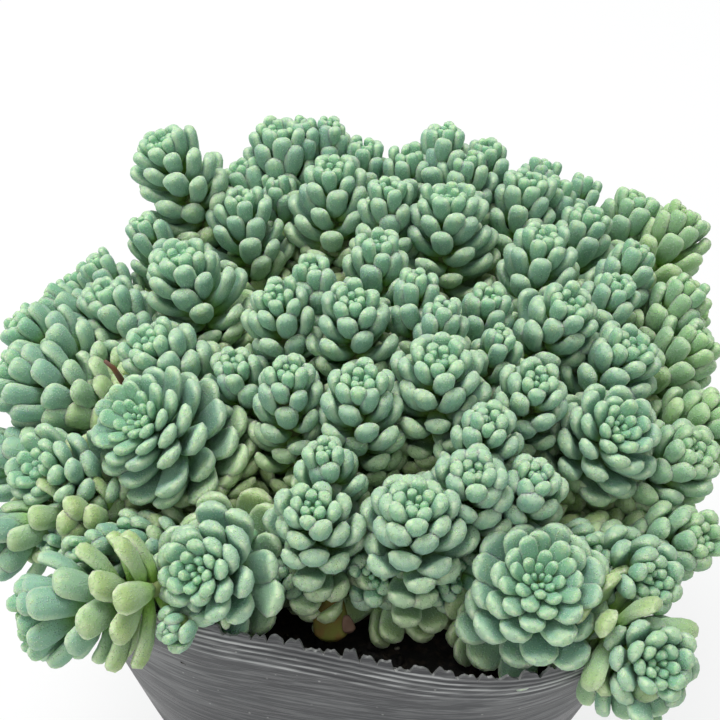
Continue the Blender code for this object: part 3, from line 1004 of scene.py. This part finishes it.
# %% [markdown]
# ## Leaves along the stem
# A leaf's reach and length say how far down the stem its foot is: the tips of the dome's
# leaves lie on its outline, and the skirt's leaves follow one another at a fixed pitch.
# Everything a leaf needs goes into one table, a row for each leaf, so that numpy can work
# on all leaves at once.

# %% Places of leaves
GOLDEN_ANGLE = radians(137.508)
USUAL_HEAD = 15.0
# Between these widths a head changes from a closed bud to an open rosette.
OPEN_FROM, OPEN_TO = 15.0, 21.0
# Leaves in the dome of a usual head and of the smallest, and how many more the larger and
# the open heads have.
DOME_LEAVES, FEWEST_LEAVES, COUNT_POWER, OPEN_MORE = 23, 8, 1.1, 0.15
# The skirt: the most leaves it can have, how soon they are full grown, and their pitch.
SKIRT_LEAVES, SKIRT_FADE, SKIRT_PITCH = 90, 7, 0.45
# How far leaves go down the stem below the head, and further on one that droops.
LEAFY_STEM, LEAFY_BY_DROOP, STEM_TIP = 13.0, 0.12, 0.3
# The stem's line: its step, how many points stay bare at its foot, and its smoothing.
LINE_STEP, LINE_SPARE, LINE_SMOOTHING = 0.5, 8, 4
# The straight line from a leaf's foot to its tip is this much of its length.
CHORD_SHARE = 0.95
MOST_LEAN, LEAST_LEAN_SINE = radians(76), 0.03
# How far leaves curve: in a bud, in an open rosette, more when grown and less when low,
# and never so far that a tip turns in past the stem by more than the slack.
BUD_BEND, OPEN_BEND, GROWN_BEND, LOW_BEND = radians(52), radians(18), radians(14), 0.7
SLACK = radians(12)
# How much one leaf differs from the next by chance.
SCATTER_ANGLE, SCATTER_LENGTH, SCATTER_WIDTH, SCATTER_PITCH = radians(4), 0.06, 0.05, 0.25
# Heads further right than the first x are painted yellower, fully so at the second.
RIGHT_SIDE_FROM, RIGHT_SIDE_TO = 46.0, 64.0
DOME_AGE, LOW_SHORTER, LEAF_CHANCE = 0.6, 0.06, 30
# A head that lies against its neighbour has lost its leaves below this depth.
BARE_BELOW = {"left_rosette_3": 21.0}
NEVER_BARE = 99


def frames_along(line, depth, head):
    """Point, direction to the tip, side and front at each depth along the line."""
    walked = walked_along(line)
    way = -np.gradient(line, axis=0)
    for _ in range(LINE_SMOOTHING):
        way[1:-1] = (way[:-2] + way[1:-1] + way[2:]) / 3
    up = unit(at_marks(depth, walked, way))
    side = unit(head.side - up * (up @ head.side)[:, None])
    return at_marks(depth, walked, line), up, side, np.cross(up, side)


def grow(head, number):
    """Every leaf of one head, as arrays with one row for each leaf."""
    draw = chance(LEAF_CHANCE, number)
    full = head.width * HEAD_SPREAD
    big = full / USUAL_HEAD
    openness = np.clip((full - OPEN_FROM) / (OPEN_TO - OPEN_FROM), 0, 1)
    dome = round(DOME_LEAVES * big**COUNT_POWER * (1 + OPEN_MORE * openness**2))
    dome = max(FEWEST_LEAVES, dome)
    leaf = np.arange(dome + SKIRT_LEAVES)

    def scatter(size):
        return size * draw.normal(0, 1, len(leaf))

    grown = np.clip((leaf + 0.5) / dome, 0, 1)
    past = np.clip(leaf - dome + 1, 0, None)
    skirt = 1 - np.exp(-past / SKIRT_FADE)
    width, length, thick, reach, drop = leaf_sizes(head, big, openness, grown, skirt)
    stem = STEM_TIP + (STEM_RADIUS - STEM_TIP) * np.minimum(1, 1.3 * grown)
    sine = (reach - stem / 2) / (length * CHORD_SHARE)
    lean = np.arcsin(np.clip(sine, LEAST_LEAN_SINE, sin(MOST_LEAN)))
    # The dome's leaves end on its outline, and the skirt's follow one another down.
    depth = drop + length * CHORD_SHARE * np.cos(lean)
    depth = np.maximum.accumulate(np.where(leaf < dome, depth, 0))
    pitch = SKIRT_PITCH / big**DEPTH_POWER
    depth = depth + pitch * past + scatter(SCATTER_PITCH * pitch) * (past > 0)
    line = resample(np.concatenate([[head.tip], stem_path(head)]), LINE_STEP)
    leafy = head.length + LEAFY_STEM + LEAFY_BY_DROOP * head.droop
    leafy = min(leafy, BARE_BELOW.get(head.name, NEVER_BARE))
    keep = depth < min(leafy, LINE_STEP * (len(line) - LINE_SPARE))
    keep[:dome] = True
    # The lowest leaves lean out further and are straighter.
    low = np.clip((depth - depth[dome - 1]) / max(leafy - depth[dome - 1], 4), 0, 1)
    lean = lean + low**0.8 * radians(head.droop) + scatter(SCATTER_ANGLE) * grown
    bend = BUD_BEND + (OPEN_BEND - BUD_BEND) * openness + GROWN_BEND * grown
    bend = np.minimum(bend - LOW_BEND * radians(head.droop) * low, 2 * (lean + SLACK))
    length = length * (1 - LOW_SHORTER * low) * (1 + SCATTER_LENGTH * scatter(1).clip(-2, 2))
    width = width * (1 + SCATTER_WIDTH * scatter(1).clip(-2, 2))
    turn = leaf * GOLDEN_ANGLE * (1 if number % 2 else -1) + draw.uniform(0, 2 * pi)
    turn = turn + scatter(SCATTER_ANGLE) * grown
    point, axis, side, front = frames_along(line, depth, head)
    out = side * np.cos(turn)[:, None] + front * np.sin(turn)[:, None]
    # How far towards the right the head is, which its finish paints yellower.
    right_side = np.clip((head.tip[0] - RIGHT_SIDE_FROM) / (RIGHT_SIDE_TO - RIGHT_SIDE_FROM), 0, 1)
    rows = {
        "base": point + out * (stem * 0.5)[:, None],
        "chord": out * np.sin(lean)[:, None] + axis * np.cos(lean)[:, None],
        "upper": axis * np.sin(lean)[:, None] - out * np.cos(lean)[:, None],
        "length": length, "width": width, "thick": width * thick, "bend": bend,
        "age": DOME_AGE * grown + (1 - DOME_AGE) * skirt, "low": low,
        "tint": draw.uniform(0, 1, len(leaf)),
    }
    one_for_all = {"open": openness, "right_side": right_side, "owner": number}
    rows |= {field: np.full(len(leaf), value) for field, value in one_for_all.items()}
    return {field: row[keep] for field, row in rows.items()}


grown_heads = [grow(head, number) for number, head in enumerate(heads)]
leaves = {field: np.concatenate([one[field] for one in grown_heads]) for field in grown_heads[0]}
print("leaves:", len(leaves["length"]))

# %% [markdown]
# ## Growing in a crowd
# Heads drawn one by one run into each other. In a real cushion each leaf is pushed aside
# as its neighbours swell. The same is done here: each leaf is two balls on a stick that
# turns about its foot, and balls that meet push each other away, as do the film of the
# pot and the soil, over a number of small rounds. A leaf that is still caught after the
# last round grows smaller.

# %% Balls on leaves
# Where the balls are along a leaf, as shares of its length, and how far they sink towards
# its thick underside, as a share of its thickness.
BALLS, BALL_SINK = (0.5, 0.84), 0.2


def ball_radii(leaves):
    """Half the mean of a leaf's width and thickness."""
    return (leaves["width"] + leaves["thick"]) / 4


def squared_up(leaves):
    """The way each leaf's upper face looks, square to its length."""
    upper, chord = leaves["upper"], leaves["chord"]
    return unit(upper - chord * (upper * chord).sum(axis=1)[:, None])


def middle_line(leaves, along):
    """A leaf's curved middle line: how far on and how high it is, and how it slopes."""
    bend, length = leaves["bend"][:, None], leaves["length"][:, None]
    slope = bend * (along - 0.5)
    onward = (np.sin(slope) + np.sin(bend / 2)) / bend * length
    above = (np.cos(bend / 2) - np.cos(slope)) / bend * length
    return onward, above, slope


def ball_places(leaves):
    """Where each leaf's balls are: rows of leaves, then balls, then x, y, z."""
    onward, above, _ = middle_line(leaves, np.array(BALLS)[None])
    above = (above - BALL_SINK * leaves["thick"][:, None])[:, :, None]
    out = leaves["chord"][:, None] * onward[:, :, None] + squared_up(leaves)[:, None] * above
    return leaves["base"][:, None] + out


print("balls on leaves:", len(leaves["length"]) * len(BALLS))

# %% What can touch
NEAR_HEADS, HEAD_SHARE = 2.0, 0.6
RIM_TOP, SOIL_GAP = 0.5, 1.0


def neighbours():
    """Pairs of heads that could touch, each head with itself among them."""
    middles = np.array([head.tip - head.axis * (head.length + LEAFY_STEM) * 0.5 for head in heads])
    halves = np.array([(head.length + LEAFY_STEM) / 2 for head in heads])
    sizes = np.array([head.width * HEAD_SHARE for head in heads]) + halves
    apart = np.linalg.norm(middles[:, None] - middles[None], axis=2)
    first, second = np.nonzero(apart < sizes[:, None] + sizes[None] + NEAR_HEADS)
    return [(one, other) for one, other in zip(first, second) if one <= other]


def wall_push(places, radii, outside):
    """How far the film of the pot and the soil push each ball, and which way."""
    angle, _, out = around_wall(places)
    way = np.stack([np.cos(angle), np.sin(angle), np.zeros_like(angle)], axis=1)
    over = places[:, 2] - rim_height(angle) - RIM_TOP
    beside = np.where(outside, radii - out, radii + out + FILM)
    beside = np.clip(beside, 0, radii * 1.5) * (over < 0)
    push = way * np.where(outside, beside, -beside)[:, None]
    gap = np.hypot(out, over)
    above = np.clip(radii - gap, 0, None) * (over >= 0)
    rim_way = (way * out[:, None] + np.outer(over, [0, 0, 1.0])) / np.maximum(gap, 0.01)[:, None]
    push += rim_way * above[:, None]
    sunk = np.clip(SOIL_TOP + SOIL_GAP + radii - places[:, 2], 0, radii)
    return push + np.outer(sunk * (~outside) * (over < 0), [0, 0, 1.0])


pairs = neighbours()
print("pairs of heads that could touch:", len(pairs))

# %% One push
# How much of their size balls keep to themselves, in one head and between two heads.
OWN_HEAD, OTHER_HEAD = 0.78, 0.85
# Leaves of the dome give way least, and the lowest leaves most.
LEAST_LOOSE = 0.12


def crowd_push(leaves, slices):
    """The push on each ball of each leaf, and how deep it is caught in another head."""
    places = ball_places(leaves)
    count = len(BALLS)
    flat, size = places.reshape(-1, 3), np.repeat(ball_radii(leaves), count)
    owner_leaf = np.repeat(np.arange(len(places)), count)
    loose = np.repeat(LEAST_LOOSE + leaves["low"], count)
    push, caught = np.zeros_like(flat), np.zeros(len(flat))
    for one, other in pairs:
        a, b = slices[one], slices[other]
        share = OWN_HEAD if one == other else OTHER_HEAD
        step = flat[a][:, None] - flat[b][None]
        gap = np.linalg.norm(step, axis=2)
        deep = share * (size[a][:, None] + size[b][None]) - gap
        deep[(deep < 0) | (owner_leaf[a][:, None] == owner_leaf[b][None])] = 0
        if not deep.any():
            continue
        force = step * (deep / np.maximum(gap, 0.05))[:, :, None]
        total = loose[a][:, None] + loose[b][None]
        push[a] += (force * (loose[a][:, None] / total)[:, :, None]).sum(axis=1)
        if one != other:
            push[b] -= (force * (loose[b][None] / total)[:, :, None]).sum(axis=0)
            caught[a] = np.maximum(caught[a], deep.max(axis=1))
            caught[b] = np.maximum(caught[b], deep.max(axis=0))
    wall = wall_push(flat, size, np.repeat(leaves["outside"], count))
    caught = np.maximum(caught, np.linalg.norm(wall, axis=1))
    return (push + wall).reshape(places.shape), caught.reshape(places.shape[:2])


def ball_slices():
    """Which balls are each head's, among the balls of all heads."""
    ends = np.cumsum([0] + [len(one["length"]) for one in grown_heads]) * len(BALLS)
    return [slice(a, b) for a, b in zip(ends[:-1], ends[1:])]


print("most balls on one head:", max(part.stop - part.start for part in ball_slices()))

# %% [markdown]
# ## Rounds of pushing
# A leaf is stiff, so a push does not bend it: it only turns it about its foot, and a young
# leaf less than an old one. Many small turns find a calm state, where one large turn
# would throw leaves into the next head.

# %% Rounds
ROUNDS = 16
MOST_TURN, YOUNG_TURN = radians(32), 0.35
MOST_PUSH, EASE = 0.5, 0.6
# A leaf caught by more than a share of its radius shrinks, and by much more it is dropped.
SHRINK_FROM, SHRINK, DROP_FROM = 0.25, 0.42, 1.25


def turn_leaves(leaves, push, first_chord):
    """Turns each leaf about its foot, no further than a leaf can be pushed."""
    steps = leaves["length"][:, None] * BALLS
    most = ball_radii(leaves)[:, None, None] * MOST_PUSH
    moved = (push.clip(-most, most) / steps[:, :, None]).sum(axis=1) * EASE
    chord = unit(leaves["chord"] + moved)
    along = (chord * first_chord).sum(axis=1)
    across = chord - first_chord * along[:, None]
    reach = np.maximum(np.linalg.norm(across, axis=1), 1e-6)
    most = MOST_TURN * (YOUNG_TURN + (1 - YOUNG_TURN) * leaves["age"])
    angle = np.minimum(np.arctan2(reach, along), most)
    turned = across * (np.sin(angle) / reach)[:, None]
    leaves["chord"] = first_chord * np.cos(angle)[:, None] + turned


def settle(leaves):
    """The same leaves after all rounds of pushing."""
    slices = ball_slices()
    near_foot = leaves["base"] + leaves["chord"] * leaves["length"][:, None] * 0.3
    leaves["outside"] = around_wall(near_foot)[2] > 0
    first_chord = leaves["chord"].copy()
    for _ in range(ROUNDS):
        push, _ = crowd_push(leaves, slices)
        turn_leaves(leaves, push, first_chord)
    _, caught = crowd_push(leaves, slices)
    worst = caught.max(axis=1) / ball_radii(leaves)
    shrink = 1 - SHRINK * np.clip(worst - SHRINK_FROM, 0, 1)
    for field in ("length", "width", "thick"):
        leaves[field] = leaves[field] * shrink
    leaves["upper"] = squared_up(leaves)
    kept = worst < DROP_FROM
    print("leaves shrunk:", int((shrink < 0.95).sum()), "dropped:", int((~kept).sum()))
    return {field: rows[kept] for field, rows in leaves.items()}


leaves = settle(leaves)

# %% [markdown]
# ## The shape of one leaf
# A sedum leaf is a thick spoon: narrow where it joins the stem, widest near its end,
# round at the tip, flat on the side that faces the tip of the shoot and deeply rounded
# on the other. It is drawn as rings of points along a curved middle line. The youngest
# leaves are only beads, so they get fewer rings.

# %% Leaf surface
FINE = {"stations": (0.0, 0.14, 0.34, 0.56, 0.76, 0.87, 0.94, 0.985), "sides": 10}
MIDDLE = {"stations": (0.0, 0.25, 0.55, 0.76, 0.89, 0.97), "sides": 10}
HIDDEN = {"stations": (0.0, 0.3, 0.62, 0.82, 0.95), "sides": 8}
BEAD = {"stations": (0.0, 0.3, 0.6, 0.86), "sides": 8}
WIDEST, BLUNT = 0.76, 2.8
# Old and open leaves are more pointed, and full-grown ones narrower at the foot.
SHARP_LOW, SHARP_OPEN = 0.25, 0.45
FOOT_WIDTH, FOOT_LESS_WIDE, FOOT_THICKNESS, FOOT_LESS_THICK = 0.62, 0.22, 0.8, 0.1
# The upper face has this much of the thickness, and is a little hollow in the middle.
UPPER_SHARE, UPPER_LESS, HOLLOW, HOLLOW_PLACE, HOLLOW_SPREAD = 0.42, 0.12, 0.35, 0.6, 0.3
# At the foot and at the tip all sides meet, so there the margin is half way.
CLOSED_MARGIN = 0.5


def leaf_outline(along, foot, sharp):
    """Share of full width at each station: swells to WIDEST, then closes in a round end."""
    swell = np.clip(along / WIDEST, 0, 1)
    body = foot + (1 - foot) * swell * (2 - swell)
    end = np.clip((along - WIDEST) / (1 - WIDEST), 0, 1)
    return body * np.clip(1 - end**BLUNT, 0, 1) ** (sharp / BLUNT)


def leaf_surface(leaves, stations, sides):
    """Points and faces of all leaves, and what their finish needs to know at each point."""
    along = np.array([*stations, 1.0])[None, :]
    age = leaves["age"][:, None]
    sharp = 1 + SHARP_LOW * leaves["low"][:, None] + SHARP_OPEN * leaves["open"][:, None]
    wide = leaf_outline(along, FOOT_WIDTH - FOOT_LESS_WIDE * age, sharp)
    wide = (wide * leaves["width"][:, None] / 2)[:, :, None]
    deep = leaf_outline(along, FOOT_THICKNESS - FOOT_LESS_THICK * age, 1.0)
    deep = (deep * leaves["thick"][:, None])[:, :, None]
    onward, above, slope = middle_line(leaves, along)
    across, up = np.cos(turns(sides))[None, None], np.sin(turns(sides))[None, None]
    upper_share = UPPER_SHARE - UPPER_LESS * age[:, :, None]
    hollow = (HOLLOW * age * bell(along - HOLLOW_PLACE, HOLLOW_SPREAD))[:, :, None]
    rise = np.where(up > 0, up * upper_share * (1 - hollow * up), up * (1 - upper_share))
    x = onward[:, :, None] - deep * rise * np.sin(slope)[:, :, None]
    z = above[:, :, None] + deep * rise * np.cos(slope)[:, :, None]
    side = np.cross(leaves["upper"], leaves["chord"])
    parts = (x, leaves["chord"]), (wide * across, side), (z, leaves["upper"])
    points = sum(size[..., None] * way[:, None, None, :] for size, way in parts)
    points = points + leaves["base"][:, None, None, :]
    labels = {"along": along[:, :, None], "margin": np.abs(across)}
    labels |= {field: leaves[field][:, None, None] for field in ("age", "low", "tint", "right_side")}
    labels = {label: np.broadcast_to(rows, points.shape[:3]) for label, rows in labels.items()}
    return close_ends(points, labels)


def close_ends(points, labels):
    """The first ring closes at one point, and the last ring has shrunk to one point."""
    count, rings, sides = points.shape[:3]
    body, start = points[:, :-1].reshape(count, -1, 3), points[:, 0].mean(axis=1, keepdims=True)
    points = np.concatenate([body, start, points[:, -1, :1]], axis=1)
    joined = {}
    for label, numbers in labels.items():
        body = numbers[:, :-1].reshape(count, -1)
        joined[label] = np.concatenate([body, numbers[:, 0, :1], numbers[:, -1, :1]], axis=1)
    joined["margin"][:, -2:] = CLOSED_MARGIN
    ring, after = np.arange(sides), (np.arange(sides) + 1) % sides
    last = (rings - 2) * sides
    foot, tip = np.full(sides, last + sides), np.full(sides, last + sides + 1)
    closing = [
        np.stack([after, ring, foot], axis=1),
        np.stack([last + ring, last + after, tip], axis=1),
    ]
    each = np.arange(count)[:, None, None] * points.shape[1]
    faces = (ring_quads(rings - 1, sides)[None] + each).reshape(-1, 4).tolist()
    faces += (np.concatenate(closing)[None] + each).reshape(-1, 3).tolist()
    return points.reshape(-1, 3), faces, {label: rows.ravel() for label, rows in joined.items()}


for grid in (FINE, MIDDLE, HIDDEN, BEAD):
    print("points of a leaf:", len(grid["stations"]) * grid["sides"] + 2)

# %% [markdown]
# ## The leaf's finish
# The skin is green, but a bloom of wax makes it look pale and blue. The wax rubs thin at
# the tips, where the skin shows yellow-green and slightly pimpled. Close to the stem the
# leaf is olive, partly its own colour and partly painted shade for the crevices between
# the leaves. The edges and the very tips get a painted highlight, and heads towards the
# right are painted yellower. Light goes a little way into the wet flesh, so the finish
# has some light scatter under its surface.

# %% Leaf finish
BLOOM_BLUE = paint(0.2, 0.37, 0.28)
BLOOM_GREY = paint(0.27, 0.46, 0.32)
SUGAR_WHITE = paint(0.62, 0.78, 0.66)
YOUNG_GREEN = paint(0.2, 0.43, 0.25)
TIP_CREAM = paint(0.6, 0.68, 0.36)
# Colour of the painted highlight on leaf edges and tips.
PAINTED_EDGE_HIGHLIGHT = paint(0.72, 0.81, 0.55)
# Olive of the leaf foot, partly its own colour and partly painted shade for the crevices between
# leaves.
FOOT_OLIVE_AND_SHADE = paint(0.25, 0.45, 0.05)
OLD_GREEN = paint(0.37, 0.48, 0.21)
OLD_OLIVE = paint(0.34, 0.44, 0.15)
SPECK_OLIVE = paint(0.3, 0.3, 0.1)
# Yellow-green painted over heads towards the right side.
RIGHT_SIDE_GREEN = paint(0.36, 0.52, 0.15)
FLESH_DEPTH = 1.8
# How many patches or grains of each kind there are to a metre.
WAX_PATCHES, WORN_PATCHES, SUGAR_GRAINS, DARK_SPECKS, PIMPLES = 260, 620, 2700, 2600, 2400


def make_leaf_finish():
    constants = {
        "Subsurface Weight": 0.6,
        "Subsurface Radius": (0.65, 1.0, 0.42),
        "Subsurface Scale": FLESH_DEPTH * MM,
        "Specular IOR Level": 0.25,
        "Sheen Weight": 0.12,
        "Sheen Roughness": 0.45,
        "Sheen Tint": paint(0.8, 0.95, 0.9),
    }
    skin = Finish("leaf_skin", constants)
    along, margin = skin.label("along"), skin.label("margin")
    age, low, tint = skin.label("age"), skin.label("low"), skin.label("tint")
    wax = skin.grain(WAX_PATCHES, 3.0).rise(0.3, 0.7)
    sugar = 1 - skin.dots(SUGAR_GRAINS).rise(0.08, 0.45)
    colour = skin.blend(tint * 0.5 + wax * 0.5, BLOOM_BLUE, BLOOM_GREY)
    colour = skin.blend((1 - age.rise(0.1, 0.55)) * 0.75, colour, YOUNG_GREEN)
    colour = skin.blend(low.rise(0.03, 0.65) * 0.75, colour, OLD_GREEN)
    # Heads towards the right side are painted yellower.
    colour = skin.blend(skin.label("right_side") * (0.35 + 0.35 * tint), colour, RIGHT_SIDE_GREEN)
    colour = skin.blend(sugar * (0.12 + along.rise(0.3, 0.9) * 0.36), colour, SUGAR_WHITE)
    ripe = along.rise(0.6, 0.9) * low.rise(0.1, 0.6) * 0.55
    colour = skin.blend(ripe, colour, OLD_OLIVE)
    patch = (1 - margin.rise(0.35, 0.85)) * along.rise(0.74, 0.92) * tint.rise(0.3, 0.8)
    worn = patch * skin.grain(WORN_PATCHES, 3.0).rise(0.36, 0.6) * (0.35 + 0.65 * sugar)
    colour = skin.blend(worn * 0.75, colour, TIP_CREAM)
    # Painted highlight along the edges towards the end of each leaf, and on its very tip.
    edge = margin.rise(0.72, 1.0) * along.rise(0.45, 0.8) * (0.36 + 0.3 * low)
    end = along.rise(0.88, 1.0) * 0.3
    colour = skin.blend(edge + end, colour, PAINTED_EDGE_HIGHLIGHT)
    # Towards the foot the leaf goes olive: partly its own colour, partly painted shade for the
    # crevices between leaves.
    shaded = 1 - along.rise(0.08, 0.58)
    colour = skin.blend(shaded * 0.9, colour, FOOT_OLIVE_AND_SHADE)
    speck = (1 - skin.dots(DARK_SPECKS).rise(0.1, 0.24)) * worn
    colour = skin.blend(speck * 0.7, colour, SPECK_OLIVE)
    skin.wear("Base Color", colour)
    skin.wear("Roughness", 0.56 + 0.16 * wax)
    skin.bump(sugar + 0.4 * skin.grain(PIMPLES, 2.0), 0.15)
    return skin.material


leaf_finish = make_leaf_finish()
print("nodes in the leaf's finish:", len(leaf_finish.node_tree.nodes))

# %% [markdown]
# ## Leaves become pieces
# All leaves of a head are one piece, because a head comes off its plant as one. Leaves
# that are easy to see get the finest rings, beads and leaves deep in the crowd get fewer,
# and each head takes the place of its plain node.

# %% Leaf pieces
FINE_FROM, MIDDLE_FROM, LOW_FROM, HIDDEN_FROM = 0.25, 0.1, 0.45, 0.7


def pick(leaves, which):
    """Some of the leaves, as a smaller table."""
    return {field: rows[which] for field, rows in leaves.items()}


def make_head(number, head):
    """Makes one head's piece, and returns its number of triangles."""
    own = pick(leaves, leaves["owner"] == number)
    bead, hidden = own["age"] < MIDDLE_FROM, own["low"] >= HIDDEN_FROM
    fine = (own["age"] >= FINE_FROM) & (own["low"] < LOW_FROM)
    groups = (fine, FINE), (~fine & ~bead & ~hidden, MIDDLE), (hidden, HIDDEN), (bead, BEAD)
    made = [leaf_surface(pick(own, which), **grid) for which, grid in groups if which.any()]
    points, faces = join(made)
    values = {label: np.concatenate([part[2][label] for part in made]) for label in made[0][2]}
    name = head.name.replace("rosette", "leaves")
    piece = make_piece(name, points, faces, leaf_finish, "leaf", values)
    if head.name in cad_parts:
        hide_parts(head.name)
    return sum(len(face) - 2 for face in faces)


triangles = sum(make_head(number, head) for number, head in enumerate(heads))
print("leaf triangles:", triangles)

# %% [markdown]
# ## Branches
# Stems stay green while they are young and turn brown and woody towards the crown. Each
# is a tube whose rings swell and shrink in turn, like the scars where old leaves sat. All
# stems of one crown make one piece with it.

# %% Stem finish
STEM_GREEN = paint(0.2, 0.26, 0.09)
STEM_BROWN = paint(0.16, 0.11, 0.06)
BARK_PATCHES, BARK_GRAINS = 500, 1500


def make_stem_finish():
    bark = Finish("stem_bark", {"Specular IOR Level": 0.25, "Roughness": 0.7})
    patches = bark.grain(BARK_PATCHES, 3.0).rise(0.4, 0.7)
    old = bark.label("down").rise(0.35, 0.9) * 0.7 + patches * 0.3
    bark.wear("Base Color", bark.blend(old, STEM_GREEN, STEM_BROWN))
    bark.bump(bark.grain(BARK_GRAINS, 3.0), 0.12)
    return bark.material


stem_finish = make_stem_finish()
print("nodes in the stem's finish:", len(stem_finish.node_tree.nodes))

# %% Stem pieces
SCAR_STEP, SCAR_SWELL = 0.9, 1.1
OLD_STEM, STEM_END = 1.3, 0.5
CROWN_LEVELS = (-0.5, CROWN_HEIGHT * 0.35, CROWN_HEIGHT * 0.7, CROWN_HEIGHT)
CROWN_TAPER = (1.0, 0.86, 0.62, 0.3)


def make_branches(name, paths):
    """A low cone for the crown, and a tube for each stem that grows from it."""
    crown = crown_point(CROWNS[name]) + np.outer(CROWN_LEVELS, [0, 0, 1.0])
    shapes = [tube(crown, CROWN_RADIUS * np.array(CROWN_TAPER), STEM_SIDES)]
    down = [np.ones(len(crown))]
    for path in paths:
        thick = np.linspace(STEM_RADIUS, STEM_RADIUS * OLD_STEM, len(path))
        thick[0] = STEM_END * STEM_RADIUS
        thick[1::2] *= SCAR_SWELL
        shapes.append(tube(path, thick, STEM_SIDES))
        down.append(np.linspace(0, 1, len(path)))
    values = {"down": np.repeat(np.concatenate(down), STEM_SIDES)}
    piece = make_piece(f"branches_{name}", *join(shapes), stem_finish, "stem", values)
    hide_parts(f"stems_{name}")
    print(piece.name, "stems:", len(paths))


for crown_name in CROWNS:
    own_heads = [head for head in heads if crown_of(head) == crown_name]
    make_branches(crown_name, [resample(stem_path(head), SCAR_STEP) for head in own_heads])

# %% [markdown]
# ## What has dropped
# Three small things lie in the cushion: an old round leaf that has turned olive and
# orange, a withered one beside it, and a dry stalk left from last year. A dropped leaf
# keeps its shape, so both are drawn by the function that draws the living ones, from a
# table with one row. Only their finish differs: dull, brown and dry.

# %% Stray bits
OLD_LEAF = {
    "base": (-4.7, -30.8, 76.2), "chord": (0.05, -0.8, -0.45),
    "length": 8.8, "width": 5.4, "thick": 2.8,
}
WITHERED_LEAF = {
    "base": (-2.1, -35.2, 74.0), "chord": (0.2, -0.8, -0.3),
    "length": 2.7, "width": 2.0, "thick": 1.3,
}
# What leaf_surface also asks of a leaf, and is the same for both.
FALLEN = {
    "upper": (0, 0, 1), "bend": radians(20),
    "age": 1, "open": 1, "low": 0, "right_side": 0, "tint": 0.5,
}
DRY_STALK = [(-36.0, -5.0, 91.0), (-37.0, -6.7, 96.0), (-37.6, -7.9, 99.4), (-38.6, -8.5, 101.4)]
STALK_RADII = (0.55, 0.5, 0.42, 0.3)
OLIVE_ORANGE = paint(0.15, 0.1, 0.028)
OLIVE_OLD = paint(0.13, 0.14, 0.028)
WITHERED_PINK = paint(0.17, 0.1, 0.075)
WITHERED_BROWN = paint(0.11, 0.065, 0.045)
STALK_BROWN = paint(0.2, 0.09, 0.05)
DRY_PATCHES, DRY_GRAINS = 500, 1400


def single_leaf(plan):
    """The table for a leaf on its own, which leaf_surface can draw."""
    one = {field: np.array([value], float) for field, value in (plan | FALLEN).items()}
    one["chord"] = unit(one["chord"])
    one["upper"] = squared_up(one)
    return one


def dried(name, first, second):
    """A dull finish, patched with two colours."""
    finish = Finish(name, {"Specular IOR Level": 0.12, "Roughness": 0.7})
    patch = finish.grain(DRY_PATCHES, 3.0).rise(0.35, 0.65)
    finish.wear("Base Color", finish.blend(patch, first, second))
    finish.bump(finish.grain(DRY_GRAINS, 3.0), 0.1)
    return finish.material


for name, plan, first, second in (
    ("old_leaf", OLD_LEAF, OLIVE_OLD, OLIVE_ORANGE),
    ("withered_leaf", WITHERED_LEAF, WITHERED_PINK, WITHERED_BROWN),
):
    points, faces, _ = leaf_surface(single_leaf(plan), **FINE)
    make_piece(name, points, faces, dried(name + "_skin", first, second))
stalk = tube(np.array(DRY_STALK), STALK_RADII, STEM_SIDES)
make_piece("dry_stalk", *stalk, dried("dry_bark", STALK_BROWN, WITHERED_PINK))
print("stray bits: an old leaf, a withered leaf and a dry stalk")
